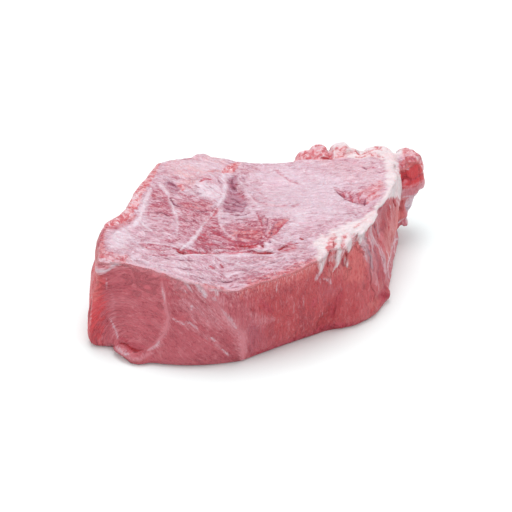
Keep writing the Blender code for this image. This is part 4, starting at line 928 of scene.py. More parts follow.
    def draw(self, face: Face, mark: Stroke | Patch) -> None:
        """Paint and carve one mark.

        Args:
            face: The face of the cut that it is drawn on.
            mark: The stroke or the patch.
        """
        share = self.faces[face]
        axes = list(DRAWN_AXES[face])
        is_stroke = isinstance(mark, Stroke)
        corners = np.array(mark.line if is_stroke else mark.outline, float)
        margin = self.REACH * (mark.half_width if is_stroke else mark.edge) + self.MARGIN
        drawn = self.points[:, axes]
        within = np.all((drawn > corners.min(0) - margin) & (drawn < corners.max(0) + margin), axis=1)
        near = (share > self.FAINTEST) & within
        flat = (self.points + self.wander)[near][:, axes]
        if is_stroke:
            gap, place = line_gap(flat, mark.line)
            taper = np.clip(np.minimum(place, 1 - place) / self.END_TAPER, 0, 1)
            width = mark.half_width * (1 + (mark.tip - 1) * place)
            width = width * (self.END_SHARE + (1 - self.END_SHARE) * taper)
            amount = np.exp(-((gap / width) ** 2) * self.FALL_OFF)
        else:
            gap, _ = line_gap(flat, mark.outline + mark.outline[:1])
            ragged = self.RAGGED_EDGE * mark.edge * self.streak[near]
            signed = np.where(inside(flat, mark.outline), gap, -gap) + ragged
            amount = smoothstep(-mark.edge, mark.edge, signed)
        amount = amount * share[near]
        layer = self.tones[mark.tone]
        layer[near] = np.maximum(layer[near], amount * mark.strength)
        self.rise[near] += amount * mark.rise


@dataclass(frozen=True)
class Carving:
    """How the meat is carved between the marks, and where its edges show.

    Depths are millimetres, waves are the lengths of unevenness along the fibres, across and through
    them, and each span is where a thing starts and where it is complete.
    """

    strand_waves: Waves = (12.0, 3.0, 9.0)
    strand_width: float = 0.11
    strand_breaks: Span = (-0.35, 0.25)
    finer_waves: Waves = (7.0, 1.9, 6.0)
    finer_width: float = 0.13
    finer_breaks: Span = (-0.1, 0.5)
    break_waves: Waves = (8.0, 6.0, 8.0)
    clear_turn: Span = (0.6, 0.88)
    crease_depth: float = 0.5
    side_creases: float = 0.12
    calm_share: float = 0.75
    smoothing: float = 0.8
    lump_wave: float = 11
    lump_depth: float = 0.3
    side_lumps: float = 0.6
    pit_wave: float = 3.1
    pit_depth: float = 0.08
    more_pits: float = 0.1
    fold_waves: Waves = (26.0, 6.0, 26.0)
    fold_depth: float = 0.7
    lap_waves: Waves = (5.0, 5.0, 7.0)
    lap_unevenness: float = 0.7
    least_lap: float = 0.2
    most_hang: float = 3
    lap_turn: Span = (0.45, 0.7)
    fringe_reach: Span = (9.0, 15.0)
    long_fringe_start: float = -14
    fringe_end: Span = (50, 58)
    lean_turn: Span = (0.5, 0.93)

    def creases(self, skin: Skin) -> np.ndarray:
        """Work out the fine broken creases between bundles of fibre.

        Args:
            skin: The painted skin.

        Returns:
            How much each point lies in a crease, from 0 to 1.
        """
        strands = Grain(Seed.STRANDS).octaves(skin.fibre / self.strand_waves, 2)
        finer = Grain(Seed.FINER_STRANDS).octaves(skin.fibre / self.finer_waves, 2)
        breaks = Grain(Seed.BREAKS).at(skin.fibre / self.break_waves)
        long_ones = np.exp(-((strands / self.strand_width) ** 2)) * smoothstep(*self.strand_breaks, breaks)
        short_ones = np.exp(-((finer / self.finer_width) ** 2)) * smoothstep(*self.finer_breaks, -breaks)
        clear_of_rim = smoothstep(*self.clear_turn, skin.normals[:, 2])
        return np.maximum(long_ones, short_ones) * np.maximum(clear_of_rim, 1 - skin.faces[Face.UPPER])

    def relief(self, skin: Skin, crease: np.ndarray) -> np.ndarray:
        """Work out how far each point stands out of the plain skin.

        Args:
            skin: The painted skin.
            crease: How much each point lies in a crease.

        Returns:
            The lift of each point in millimetres.
        """
        upper = skin.faces[Face.UPPER]
        smooth_parts = np.maximum(skin.tones[FAT], self.calm_share * skin.tones[CALM])
        depth = self.crease_depth * (self.side_creases + (1 - self.side_creases) * upper)
        depth = depth * (1 - self.smoothing * smooth_parts)
        lumps = Grain(Seed.LUMPS).octaves(skin.points / self.lump_wave, 3)
        lumps = lumps * self.lump_depth * (self.side_lumps + (1 - self.side_lumps) * upper)
        pits = Grain(Seed.PITS).octaves(skin.points / self.pit_wave, 2)
        pits = pits * (self.pit_depth + self.more_pits * upper)
        folds = Grain(Seed.FOLDS).octaves(skin.fibre / self.fold_waves, 2)
        folds = folds * self.fold_depth * skin.faces[Face.RIGHT]
        return skin.rise + lumps + pits + folds - depth * crease

    def hang(self, skin: Skin) -> np.ndarray:
        """Work out how far each point is down the lap of the pale cut face.

        Args:
            skin: The painted skin.

        Returns:
            The place of each point, with 0 at the rim and 1 at the lap's edge.
        """
        uneven = Grain(Seed.LAP).octaves(skin.points / self.lap_waves, 2)
        reach = np.interp(skin.points[:, 0], *np.array(SKIRT, float).T) * (1 + self.lap_unevenness * uneven)
        down = skin.drop / np.maximum(reach, self.least_lap)
        on_top = smoothstep(*self.lap_turn, skin.normals[:, 2]) * skin.faces[Face.UPPER]
        return np.clip(down, 0, self.most_hang) * (1 - on_top)

    def fringe(self, skin: Skin) -> np.ndarray:
        """Work out how much the pale hairs below the rim show.

        Args:
            skin: The painted skin.

        Returns:
            The share of each point, from 0 to 1.
        """
        x = skin.points[:, 0]
        short, long = self.fringe_reach
        reach = np.where(x > self.long_fringe_start, long, short)
        return np.clip(1 - skin.drop / reach, 0, 1) * (1 - smoothstep(*self.fringe_end, x))

    def lean(self, skin: Skin) -> np.ndarray:
        """How much each point leans away from the level of the cut face, from 0 to 1."""
        return np.maximum(1 - smoothstep(*self.lean_turn, skin.normals[:, 2]), skin.back_ledge())


@dataclass
class PorkSlab:
    """The slab itself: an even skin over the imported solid, carved and painted."""

    name: str = "pork_skin"
    node: str = "pork_slab"
    body: str = "root"
    slot: str = "raw_pork"
    carving: Carving = Carving()
    voxel: float = 0.80
    smooth_factor: float = 0.5
    smooth_turns: int = 4
    weld: float = 0.001
    level_cut: float = 0.35
    foot_height: float = 3.0
    least_upper_turn: float = 0.8
    least_upper_height: float = 40

    def build(self) -> bpy.types.Object:
        """Make the skin, carve it and write what is painted on it.

        Returns:
            The finished object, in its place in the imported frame.
        """
        skin_object = self.even_skin()
        self.level_foot(skin_object)
        mesh = skin_object.data
        skin = self.read(mesh)
        for face, marks in MARKS.items():
            for mark in marks:
                skin.draw(face, mark)
        crease = self.carving.creases(skin)
        self.carve(mesh, skin, crease)
        self.paint(mesh, skin, crease)
        mesh.update()
        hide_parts(self.node)
        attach(skin_object, self.body)
        triangles = sum(len(face.vertices) - 2 for face in mesh.polygons)
        LOG.info("%s: %d triangles", self.name, triangles)
        return skin_object

    def even_skin(self) -> bpy.types.Object:
        """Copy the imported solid, add the lumps and give the copy small even faces.

        Returns:
            The copy.
        """
        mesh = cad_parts[self.node].data.copy()
        welded = bmesh.new()
        welded.from_mesh(mesh)
        for lump in LUMPS:
            self.add_lump(welded, lump)
        bmesh.ops.remove_doubles(welded, verts=welded.verts, dist=self.weld * MM)
        welded.to_mesh(mesh)
        welded.free()
        copy = bpy.data.objects.new(self.name, mesh)
        bpy.context.scene.collection.objects.link(copy)
        remesh = copy.modifiers.new("even skin", "REMESH")
        remesh.mode = "VOXEL"
        remesh.voxel_size = self.voxel * MM
        ease = copy.modifiers.new("ease facets", "SMOOTH")
        ease.factor = self.smooth_factor
        ease.iterations = self.smooth_turns
        bpy.context.view_layer.update()
        evaluated = copy.evaluated_get(bpy.context.evaluated_depsgraph_get())
        copy.data = bpy.data.meshes.new_from_object(evaluated)
        copy.data.name = self.name
        copy.modifiers.clear()
        return copy

    @staticmethod
    def add_lump(shape: bmesh.types.BMesh, lump: Lump) -> None:
        """Add a lump to a shape.

        Args:
            shape: The shape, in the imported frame.
            lump: The lump, in the drawing frame.
        """
        middle = Matrix.Translation((np.array(lump.middle) - DRAWING_SHIFT) * MM)
        size = Matrix.Diagonal((*(reach * MM for reach in lump.reach), 1.0))
        bmesh.ops.create_icosphere(shape, subdivisions=4, radius=1.0, matrix=middle @ size)

    def level_foot(self, skin_object: bpy.types.Object) -> None:
        """Close the underside with one level face, down on the board.

        Args:
            skin_object: The skin.
        """
        shape = bmesh.new()
        shape.from_mesh(skin_object.data)
        cut = bmesh.ops.bisect_plane(
            shape,
            geom=[*shape.verts, *shape.edges, *shape.faces],
            plane_co=(0, 0, self.level_cut * MM),
            plane_no=(0, 0, -1),
            clear_outer=True,
        )
        rim = [part for part in cut["geom_cut"] if isinstance(part, bmesh.types.BMEdge)]
        for face in shape.faces:
            face.smooth = True
        closed = bmesh.ops.holes_fill(shape, edges=rim, sides=0)
        for face in closed["faces"]:
            face.smooth = False
        shape.to_mesh(skin_object.data)
        shape.free()

    def read(self, mesh: bpy.types.Mesh) -> Skin:
        """Read the skin's points, and how far below the upper face's rim each one is.

        Args:
            mesh: The skin's mesh, with its foot cut level.

        Returns:
            The bare skin, with its foot stretched down to the board.
        """
        count = len(mesh.vertices)
        points = np.empty(count * 3)
        mesh.vertices.foreach_get("co", points)
        points = points.reshape(-1, 3) / MM
        low, foot, z = self.level_cut, self.foot_height, points[:, 2]
        points[:, 2] = np.where(z < foot, (z - low) * foot / (foot - low), z)
        normals = np.empty(count * 3)
        mesh.vertices.foreach_get("normal", normals)
        normals = normals.reshape(-1, 3)
        points = points + DRAWING_SHIFT
        is_upper = (normals[:, 2] > self.least_upper_turn) & (points[:, 2] > self.least_upper_height)
        upper = np.flatnonzero(is_upper)
        tree = KDTree(len(upper))
        for index in upper:
            tree.insert((*points[index, :2], 0), index)
        tree.balance()
        above = np.array([points[tree.find((*point[:2], 0))[1], 2] for point in points])
        return Skin(points, normals, above - points[:, 2])

    def carve(self, mesh: bpy.types.Mesh, skin: Skin, crease: np.ndarray) -> None:
        """Move the mesh's points by the relief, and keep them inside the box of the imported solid.

        Args:
            mesh: The skin's mesh.
            skin: The painted skin.
            crease: How much each point lies in a crease.
        """
        shift = skin.normals * self.carving.relief(skin, crease)[:, None]
        shift[:, 2] *= smoothstep(0.0, self.foot_height, skin.points[:, 2])
        low, high = (np.array(corner) / MM for corner in CAD_BOX)
        places = np.clip(skin.points + shift - DRAWING_SHIFT, low, high)
        mesh.vertices.foreach_set("co", (places * MM).ravel())

    def paint(self, mesh: bpy.types.Mesh, skin: Skin, crease: np.ndarray) -> None:
        """Write what is painted on the skin as layers of the mesh.

        Args:
            mesh: The skin's mesh.
            skin: The painted skin.
            crease: How much each point lies in a crease.
        """
        layers = {tone.value: values for tone, values in skin.tones.items() if tone is not CARVE}
        layers["hang"] = self.carving.hang(skin)
        layers["fringe"] = self.carving.fringe(skin)
        layers["crease"] = crease
        layers["wet"] = np.max([skin.tones[tone] for tone in WET_TONES], axis=0)
        layers["seam"] = skin.seam
        layers["lean"] = self.carving.lean(skin)
        for name, values in layers.items():
            layer = mesh.attributes.new(name, "FLOAT", "POINT")
            layer.data.foreach_set("value", np.asarray(values, np.float32))
        fibre_layer = mesh.attributes.new("fibre", "FLOAT_VECTOR", "POINT")
        fibre_layer.data.foreach_set("vector", skin.fibre.astype(np.float32).ravel())


def seen(red: int, green: int, blue: int, light: float) -> Colour:
    """Turn a colour as it is seen on the set into the colour of the surface.

    Args:
        red: 0 to 255.
        green: 0 to 255.
        blue: 0 to 255.
        light: How much light falls on the surface, with 1 for plain white.

    Returns:
        The linear colour of the surface with full alpha.
    """
    parts = [part / 255 for part in (red, green, blue)]
    linear = [part / 12.92 if part <= 0.04045 else ((part + 0.055) / 1.055) ** 2.4 for part in parts]
    return (*(part / light for part in linear), 1.0)


class Signal:
    """A value in a material, which can be used in arithmetic."""

    def __init__(self, nodes: NodeBench, socket: Socket) -> None:
        """Hold a node's output.

        Args:
            nodes: The bench that makes more nodes.
            socket: The output.
        """
        self.nodes = nodes
        self.socket = socket

    def _math(self, operation: str, first: Signal | float, second: Signal | float) -> Signal:
        """Join two values by a Math node."""
        made = self.nodes.make("ShaderNodeMath", {"operation": operation}, {0: first, 1: second})
        return Signal(self.nodes, made.outputs[0])

    def __add__(self, other: Signal | float) -> Signal:
        """Add."""
        return self._math("ADD", self, other)

    def __radd__(self, other: float) -> Signal:
        """Add to a number."""
        return self._math("ADD", other, self)

    def __sub__(self, other: Signal | float) -> Signal:
        """Take away."""
        return self._math("SUBTRACT", self, other)

    def __rsub__(self, other: float) -> Signal:
        """Take away from a number."""
        return self._math("SUBTRACT", other, self)

    def __mul__(self, other: Signal | float) -> Signal:
        """Multiply."""
        return self._math("MULTIPLY", self, other)

    def __rmul__(self, other: float) -> Signal:
        """Multiply a number."""
        return self._math("MULTIPLY", other, self)

    def ridge(self, width: float) -> Signal:
        """Keep only thin lines, where a noise passes its middle value."""
        return self._math("ABSOLUTE", self - 0.5, 0.0).step(width, 0.0)

    def step(self, low: float, high: float) -> Signal:
        """Ease from 0 at low to 1 at high."""
        made = self.nodes.make(
            "ShaderNodeMapRange",
            {"interpolation_type": "SMOOTHSTEP"},
            {"Value": self, "From Min": low, "From Max": high, "To Min": 0.0, "To Max": 1.0},
        )
        return Signal(self.nodes, made.outputs["Result"])


class NodeBench:
    """Makes the nodes of one material."""

    NOISE_ROUGHNESS = 0.6

    # The sockets of a Mix node that mixes colours.
    MIX_SHARE, MIX_UNDER, MIX_OVER = 0, 6, 7
    MIX_RESULT = 2

    def __init__(self, material: bpy.types.Material) -> None:
        """Open the material's node tree.

        Args:
            material: The material.
        """
        material.use_nodes = True
        self.tree = material.node_tree
        self.shader = self.tree.nodes["Principled BSDF"]

    def make(self, kind: str, settings: Settings, inputs: dict[int | str, object]) -> bpy.types.Node:
        """Make a node.

        Args:
            kind: The node's type.
            settings: Its own settings, set first.
            inputs: Its sockets by name or number, each a value or what to link.

        Returns:
            The node.
        """
        node = self.tree.nodes.new(kind)
        for name, value in settings.items():
            setattr(node, name, value)
        for key, value in inputs.items():
            self.feed(node.inputs[key], value)
        return node

    def feed(self, socket: Socket, value: object) -> None:
        """Link a signal or a socket to an input, or set the input's own value."""
        if isinstance(value, Signal):
            self.tree.links.new(value.socket, socket)
        elif isinstance(value, Socket):
            self.tree.links.new(value, socket)
        else:
            socket.default_value = value

    def layer(self, name: str) -> bpy.types.Node:
        """Read a layer of the mesh."""
        return self.make("ShaderNodeAttribute", {"attribute_name": name, "attribute_type": "GEOMETRY"}, {})

    def painted(self, name: str) -> Signal:
        """Read a number painted on the mesh."""
        return Signal(self, self.layer(name).outputs["Fac"])

    def places(self, name: str, waves: Waves) -> Socket:
        """Read places painted on the mesh, in waves of the given lengths in millimetres.

        Args:
            name: The layer.
            waves: The lengths along the fibres, across and through them.

        Returns:
            The places in waves.
        """
        inputs = {0: self.layer(name).outputs["Vector"], 1: tuple(1 / wave for wave in waves)}
        return self.make("ShaderNodeVectorMath", {"operation": "MULTIPLY"}, inputs).outputs[0]

    def noise(self, places: Socket, detail: float, stir: float) -> Signal:
        """Read noise.

        Args:
            places: Where, in waves.
            detail: How many finer octaves it has.
            stir: How much it is stirred up.

        Returns:
            The noise, from 0 to 1.
        """
        made = self.make(
            "ShaderNodeTexNoise",
            {"noise_dimensions": "3D"},
            {
                "Vector": places,
                "Scale": 1.0,
                "Detail": detail,
                "Roughness": self.NOISE_ROUGHNESS,
                "Distortion": stir,
            },
        )
        return Signal(self, made.outputs["Fac"])

    def blend(self, under: Socket | Colour, over: Socket | Colour, share: Signal) -> Socket:
        """Lay one colour over another."""
        inputs = {self.MIX_SHARE: share, self.MIX_UNDER: under, self.MIX_OVER: over}
        return self.make("ShaderNodeMix", {"data_type": "RGBA"}, inputs).outputs[self.MIX_RESULT]

    def veil(
        self,
        under: Socket | Colour,
        over: Socket | Colour,
        pattern: Signal,
        span: Span,
        amount: Signal | float = 1.0,
    ) -> Socket:
        """Lay one colour over another where a pattern passes through a span.

        Args:
            under: The colour below.
            over: The colour on top.
            pattern: What decides where the top colour lies.
            span: The pattern's values where the top colour starts and where it is complete.
            amount: How much of the top colour there is at most.

        Returns:
            The new colour.
        """
        return self.blend(under, over, pattern.step(*span) * amount)


@dataclass(frozen=True)
class Stain:
    """How a painted tone lies on the meat: its two colours, and how it covers what is below."""

    tone: Tone
    colour: Colour
    streak: Colour
    opacity: float
    soft: float
    ragged: float


@dataclass
class Weave:
    """The noises along the fibres and the painted layers that the colours share."""

    bench: NodeBench
    fine: Signal = field(init=False)
    broad: Signal = field(init=False)
    speck: Signal = field(init=False)
    cloud: Signal = field(init=False)
    clot: Signal = field(init=False)
    lines: Signal = field(init=False)
    hairs: Signal = field(init=False)
    pale_hairs_and_glints: Signal = field(init=False)
    drips: Signal = field(init=False)
    ragged: Signal = field(init=False)
    strands: Signal = field(init=False)
    even: Signal = field(init=False)
    busy: Signal = field(init=False)

    RAGGEDNESS = 3.2
    CALMING = 0.8

    # The lengths in millimetres along the fibres, across and through them, the detail and the stir.
    NOISES = {
        "fine": ((4.5, 0.9, 1.8), 3.0, 0.4),
        "broad": ((13.0, 3.2, 8.0), 3.0, 0.6),
        "speck": ((1.5, 1.0, 1.2), 2.0, 0.0),
        "cloud": ((22.0, 14.0, 14.0), 3.0, 0.5),
        "clot": ((3.4, 2.2, 3.0), 2.0, 0.6),
    }

    # The same for noises of which only thin lines are kept, and half the width of the lines.
    RIDGES = {
        "lines": ((9.0, 2.2, 7.0), 2.0, 0.6, 0.12),
        "hairs": ((5.0, 1.4, 3.0), 2.0, 0.7, 0.12),
        "pale_hairs_and_glints": ((7.0, 1.5, 4.0), 2.0, 0.9, 0.12),
        "drips": ((6.0, 1.3, 4.0), 3.0, 0.5, 0.1),
    }

    def __post_init__(self) -> None:
        """Make the noises and read the painted layers."""
        for name, (waves, detail, stir) in self.NOISES.items():
            setattr(self, name, self.bench.noise(self.bench.places("fibre", waves), detail, stir))
        for name, (waves, detail, stir, width) in self.RIDGES.items():
            noise = self.bench.noise(self.bench.places("fibre", waves), detail, stir)
            setattr(self, name, noise.ridge(width))
        self.ragged = (self.mix(fine=0.6, speck=0.4) - 0.5) * self.RAGGEDNESS
        self.strands = self.mix(fine=0.55, clot=0.45).step(0.47, 0.6)
        self.even = 1 - self.bench.painted("seam")
        self.busy = 1 - self.CALMING * self.bench.painted("calm")

    def mix(self, **shares: float) -> Signal:
        """Add up noises by name, each by its share."""
        first, *others = (share * getattr(self, name) for name, share in shares.items())
        return sum(others, first)


@dataclass(frozen=True)
class MeatFinish:
    """The finish of the raw meat: one moist skin with the colours of muscle, fat and silver skin, and some
    painted sheen, highlights and shade.
    """

    side_cool: Colour = seen(187, 90, 101, SIDE_LIGHT)
    side_warm: Colour = seen(188, 72, 78, SIDE_LIGHT)
    side_ruby: Colour = seen(206, 62, 68, SIDE_LIGHT)
    side_pale: Colour = seen(218, 142, 150, SIDE_LIGHT)
    side_dark: Colour = seen(146, 52, 66, SIDE_LIGHT)
    # The pale lavender of the cut face is partly a painted sheen of the overhead light on the wet face.
    face_pale_and_sheen: Colour = seen(230, 204, 218, TOP_LIGHT)
    face_pink: Colour = seen(222, 168, 186, TOP_LIGHT)
    face_line: Colour = seen(170, 70, 94, TOP_LIGHT)
    # White of threads and crumbs, also used for painted glints and sheen on the cut face.
    white_and_glint: Colour = seen(244, 228, 238, TOP_LIGHT)
    face_cream: Colour = seen(238, 190, 194, TOP_LIGHT)
    # Pinker colour where the cut face leans off level at the rim, made lighter than it is to offset the
    # lesser light there: partly painted light.
    lap: Colour = seen(234, 176, 188, SIDE_LIGHT)
    fringe: Colour = seen(232, 178, 184, SIDE_LIGHT)
    fat: Colour = seen(242, 226, 230, TOP_LIGHT)
    fat_pink: Colour = seen(236, 194, 200, TOP_LIGHT)

    # Each stain's opacity, and how soft and how ragged its edge is, come after its two colours.
    stains: tuple[Stain, ...] = (
        Stain(FLUSH, seen(228, 174, 187, TOP_LIGHT), seen(204, 114, 132, TOP_LIGHT), 0.88, 0.5, 0.9),
        Stain(MAUVE, seen(186, 130, 152, TOP_LIGHT), seen(146, 78, 106, TOP_LIGHT), 0.85, 0.45, 0.7),
        Stain(RUST, seen(220, 126, 128, TOP_LIGHT), seen(198, 66, 76, TOP_LIGHT), 0.9, 0.4, 0.8),
        Stain(DEEP, seen(208, 84, 102, TOP_LIGHT), seen(172, 26, 50, TOP_LIGHT), 0.92, 0.35, 0.7),
        Stain(EMBER, seen(224, 120, 120, RIM_LIGHT), seen(203, 86, 88, RIM_LIGHT), 0.9, 0.45, 1.0),
        Stain(HAZE, seen(212, 140, 150, SIDE_LIGHT), seen(222, 160, 170, SIDE_LIGHT), 0.6, 0.5, 0.8),
    )
    film: Stain = Stain(FILM, seen(241, 226, 236, TOP_LIGHT), seen(230, 196, 210, TOP_LIGHT), 0.85, 0.5, 1.15)
    blush: Stain = Stain(BLUSH, seen(236, 168, 174, TOP_LIGHT), seen(212, 96, 104, TOP_LIGHT), 0.85, 0.4, 1.1)
    plum: Stain = Stain(PLUM, seen(150, 74, 102, TOP_LIGHT), seen(118, 40, 66, TOP_LIGHT), 0.9, 0.35, 0.6)
    gap: Stain = Stain(GAP, seen(176, 30, 44, TOP_LIGHT), seen(140, 10, 26, TOP_LIGHT), 0.92, 0.3, 0.5)
    stain_raggedness: float = 0.6
    stain_faint: Span = (0.03, 0.25)
    lap_raggedness: float = 0.4
    lap_edge: Span = (1.35, 0.65)
    lap_cover: float = 0.85
    roughness: float = 0.40
    roughness_play: float = 0.4
    shine: float = 0.36
    refraction: float = 1.4
    subsurface: float = 0.10
    subsurface_reach: tuple[float, float, float] = (1.0, 0.35, 0.25)
    subsurface_depth: float = 0.0012
    bump_strength: float = 0.7
    bump_distance: float = 0.0009

    def dress(self, piece: bpy.types.Object) -> None:
        """Give the piece this finish.

        Args:
            piece: The skin, with its painted layers.
        """
        material = bpy.data.materials.new("raw_pork")
        bench = NodeBench(material)
        weave = Weave(bench)
        lapped = bench.painted("hang") + weave.ragged * self.lap_raggedness
        on_face = lapped.step(*self.lap_edge)
        colour = bench.blend(self.side(weave), self.cut_face(weave), on_face)
        for stain in self.stains:
            colour = self.lay(weave, colour, stain)
        colour = self.threads(weave, colour, on_face)
        colour = self.fat_and_gaps(weave, colour)

        height = weave.mix(fine=0.5, clot=0.3, speck=0.25, lines=-0.5, hairs=-0.3) * weave.even
        relief = {"Height": height, "Strength": self.bump_strength, "Distance": self.bump_distance}
        bump = bench.make("ShaderNodeBump", {}, relief)
        sockets = {
            "Base Color": colour,
            "Roughness": self.roughness + (weave.speck - 0.5) * self.roughness_play,
            "Normal": bump.outputs["Normal"],
            "Subsurface Weight": self.subsurface,
            "Subsurface Radius": self.subsurface_reach,
            "Subsurface Scale": self.subsurface_depth,
            "IOR": self.refraction,
            "Specular IOR Level": self.shine,
        }
        for name, value in sockets.items():
            bench.feed(bench.shader.inputs[name], value)
        piece.data.materials.clear()
        piece.data.materials.append(material)

    def side(self, weave: Weave) -> Socket:
        """Colour the muscle of the sides: cool, warm and ruby, with dark and pale flecks and hairs.

        Args:
            weave: The shared noises and layers, and the bench that makes the nodes.

        Returns:
            The colour of the sides.
        """
        bench = weave.bench
        ruby = bench.painted("ruby")
        side = bench.blend(self.side_cool, self.side_warm, bench.painted("warm"))
        side = bench.veil(side, self.side_ruby, ruby + weave.ragged * 0.3, span=(0.1, 0.95))
        specks, dark = weave.mix(speck=0.6, clot=0.4), (0.6 - 0.3 * ruby) * weave.even
        side = bench.veil(side, self.side_dark, specks, span=(0.47, 0.33), amount=dark)
        clouds = weave.mix(cloud=0.6, broad=0.4)
        side = bench.veil(side, self.side_dark, clouds, span=(0.5, 0.38), amount=0.45)
        side = bench.veil(side, self.side_pale, clouds, span=(0.52, 0.66), amount=0.2 - 0.1 * ruby)
        spots, pale = weave.mix(clot=0.5, fine=0.5), (0.5 - 0.3 * ruby) * weave.even
        side = bench.veil(side, self.side_pale, spots, span=(0.52, 0.68), amount=pale)
        hairs = weave.pale_hairs_and_glints * (0.12 + 0.5 * bench.painted("fringe"))
        return bench.veil(side, self.side_pale, weave.speck, span=(0.4, 0.6), amount=hairs)

    def cut_face(self, weave: Weave) -> Socket:
        """Colour the pale cut face, with cream at the back, pink clouds, and white threads that are partly
        painted sheen; where it leans off level it turns a pink that is brightened to make up for the lesser
        light there.

        Args:
            weave: The shared noises and layers, and the bench that makes the nodes.

        Returns:
            The colour of the cut face.
        """
        bench = weave.bench
        cream = bench.painted("cream")
        face = bench.veil(self.face_pale_and_sheen, self.face_cream, weave.cloud, span=(0.3, 0.55), amount=cream)
        clouds, pink = weave.mix(broad=0.6, cloud=0.4), 0.25 + 0.5 * weave.busy
        face = bench.veil(face, self.face_pink, clouds, span=(0.42, 0.6), amount=pink)
        spots = weave.mix(clot=0.5, fine=0.5)
        face = bench.veil(face, self.face_pink, spots, span=(0.48, 0.36), amount=0.6 * weave.busy)
        # White patches on the cut face, partly a painted sheen of the light.
        whites = weave.mix(fine=0.5, broad=0.5)
        face = bench.veil(face, self.white_and_glint, whites, span=(0.52, 0.64), amount=0.7)
        # Where the face leans off level, a pinker colour that is brightened to offset the shade there.
        return bench.blend(face, self.lap, bench.painted("lean") * self.lap_cover)

    def threads(self, weave: Weave, colour: Socket, on_face: Signal) -> Socket:
        """Lay the creases, the dark hairs and the pale hairs, which are partly painted glints, over the cut
        face, and pale drips below its rim.

        Args:
            weave: The shared noises and layers, and the bench that makes the nodes.
            colour: The colour below.
            on_face: How much each place is on the pale cut face.

        Returns:
            The new colour.
        """
        bench = weave.bench
        flush = bench.painted("flush")
        below_rim = (bench.painted("fringe") * (1 - on_face)).step(0.5, 1.0)
        drips = weave.drips * below_rim * 0.8
        colour = bench.veil(colour, self.fringe, weave.speck, span=(0.4, 0.56), amount=drips)
        lined = on_face * weave.busy * weave.even * (1 - bench.painted("lean"))
        creases = bench.painted("crease") * lined * (0.6 + 0.4 * flush)
        broken = 0.3 + weave.speck.step(0.35, 0.6) * 0.7
        colour = bench.blend(colour, self.face_line, creases * broken)
        lines = weave.lines * lined * (0.5 + 0.5 * flush)
        colour = bench.veil(colour, self.face_line, weave.fine, span=(0.4, 0.56), amount=lines)
        dark_hairs = weave.hairs * on_face * (0.1 + weave.busy * 0.3 + flush * 0.5)
        colour = bench.veil(colour, self.face_line, weave.speck, span=(0.42, 0.6), amount=dark_hairs)
        # Pale hairs and white specks on the cut face, partly painted glints.
        pale_hairs_and_glints = weave.pale_hairs_and_glints * on_face * (0.6 - 0.3 * bench.painted("wet"))
        return bench.veil(colour, self.white_and_glint, weave.speck, span=(0.45, 0.6), amount=pale_hairs_and_glints)

    def fat_and_gaps(self, weave: Weave, colour: Socket) -> Socket:
        """Lay the silver skin, the fat, its reddened crumbs and the dark gaps over the meat.

        Args:
            weave: The shared noises and layers, and the bench that makes the nodes.
            colour: The colour below.

        Returns:
            The new colour.
        """
        bench = weave.bench
        colour = self.lay(weave, colour, self.film)
        marbling = weave.mix(broad=0.6, clot=0.4)
        fat = bench.veil(self.fat, self.fat_pink, marbling, span=(0.46, 0.66), amount=0.6)
        colour = bench.veil(colour, fat, bench.painted("fat") + weave.ragged * 0.22, span=(0.05, 0.95))
        mottle = weave.mix(clot=0.6, speck=0.4).step(0.47, 0.57)
        colour = self.lay(weave, colour, self.blush, mottle)
        crumbs = bench.painted("blush") * weave.clot.step(0.5, 0.4) * 0.7
        colour = bench.veil(colour, self.white_and_glint, weave.fine, span=(0.42, 0.55), amount=crumbs)
        pits = bench.painted("blush") * weave.speck.step(0.44, 0.34) * 0.7
        colour = bench.veil(colour, self.gap.colour, weave.clot, span=(0.46, 0.6), amount=pits)
        colour = self.lay(weave, colour, self.plum)
        return self.lay(weave, colour, self.gap)

    def lay(self, weave: Weave, under: Socket, stain: Stain, streaks: Signal | None = None) -> Socket:
        """Lay a painted tone over a colour, broken up like wet muscle.

        Args:
            weave: The shared noises and layers, and the bench that makes the nodes.
            under: The colour below.
            stain: The tone, its colours and how it lies.
            streaks: Where the stain's second colour shows, if not in the weave's strands.

        Returns:
            The new colour.
        """
        bench = weave.bench
        painted = bench.painted(stain.tone.value)
        edge = painted + weave.ragged * (stain.ragged * self.stain_raggedness)
        covered = edge.step(0.5 - stain.soft, 0.5 + stain.soft) * painted.step(*self.stain_faint)
        over = bench.blend(stain.colour, stain.streak, weave.strands if streaks is None else streaks)
        return bench.blend(under, over, covered * stain.opacity)


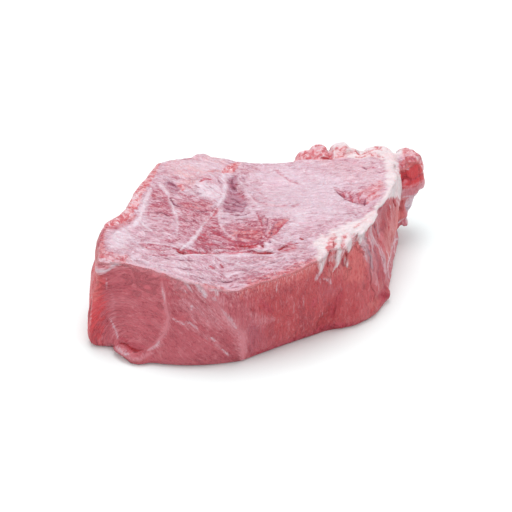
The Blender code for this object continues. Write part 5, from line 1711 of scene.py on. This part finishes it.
@dataclass
class Studio:
    """A white floor, soft light from above, and the camera, in metres."""

    floor_size: float = 40.0
    floor_drop: float = 0.0002
    floor_tint: Colour = (0.875, 0.94, 0.94, 1.0)
    floor_roughness: float = 0.9
    target: tuple[float, float, float] = (-0.004184, -0.00861, 0.027)
    distance: float = 0.80
    elevation: float = 35.0
    lens: float = 100.0
    sensor: float = 36.0
    sky: float = 0.935
    lamp_place: tuple[float, float, float] = (-0.03, 0.12, 0.92)
    lamp_size: float = 0.5
    lamp_watts: float = 3.9

    def floor(self) -> None:
        """Lay the floor just under the meat."""
        mesh = bpy.data.meshes.new("floor")
        half = self.floor_size / 2
        corners = [(-half, -half, 0), (half, -half, 0), (half, half, 0), (-half, half, 0)]
        mesh.from_pydata(corners, [], [(0, 1, 2, 3)])
        floor = bpy.data.objects.new("floor", mesh)
        floor.location.z = -self.floor_drop
        bpy.context.scene.collection.objects.link(floor)
        material = bpy.data.materials.new("floor_white")
        bench = NodeBench(material)
        bench.feed(bench.shader.inputs["Base Color"], self.floor_tint)
        bench.feed(bench.shader.inputs["Roughness"], self.floor_roughness)
        bench.feed(bench.shader.inputs["Specular IOR Level"], 0.0)
        mesh.materials.append(material)

    def light(self) -> None:
        """Light the set: an even white surround and one large soft light above."""
        world = bpy.data.worlds.new("surround")
        bpy.context.scene.world = world
        world.use_nodes = True
        surround = world.node_tree.nodes["Background"]
        surround.inputs["Color"].default_value = (1, 1, 1, 1)
        surround.inputs["Strength"].default_value = self.sky
        light = bpy.data.lights.new("overhead", "AREA")
        light.size = self.lamp_size
        light.energy = self.lamp_watts
        lamp = bpy.data.objects.new("overhead", light)
        lamp.location = self.lamp_place
        down = Vector(self.target) - Vector(self.lamp_place)
        lamp.rotation_euler = down.to_track_quat("-Z", "Y").to_euler()
        bpy.context.scene.collection.objects.link(lamp)

    def camera(self) -> None:
        """Stand the camera in front, looking down on the meat."""
        data = bpy.data.cameras.new("camera")
        data.lens = self.lens
        data.sensor_width = self.sensor
        camera = bpy.data.objects.new("camera", data)
        tilt = math.radians(self.elevation)
        back = Vector((0, -math.cos(tilt), math.sin(tilt)))
        camera.location = Vector(self.target) + back * self.distance
        camera.rotation_euler = (-back).to_track_quat("-Z", "Y").to_euler()
        bpy.context.scene.collection.objects.link(camera)
        bpy.context.scene.camera = camera

    def build(self) -> None:
        """Set up the whole studio."""
        self.floor()
        self.light()
        self.camera()
        bpy.context.scene.view_settings.view_transform = "Standard"


def main() -> None:
    """Build and dress the cut, then the studio round it."""
    logging.basicConfig(level=logging.INFO)
    slab = PorkSlab().build()
    MeatFinish().dress(slab)
    Studio().build()
    LOG.info("studio ready")


if __name__ == "__main__":
    main()
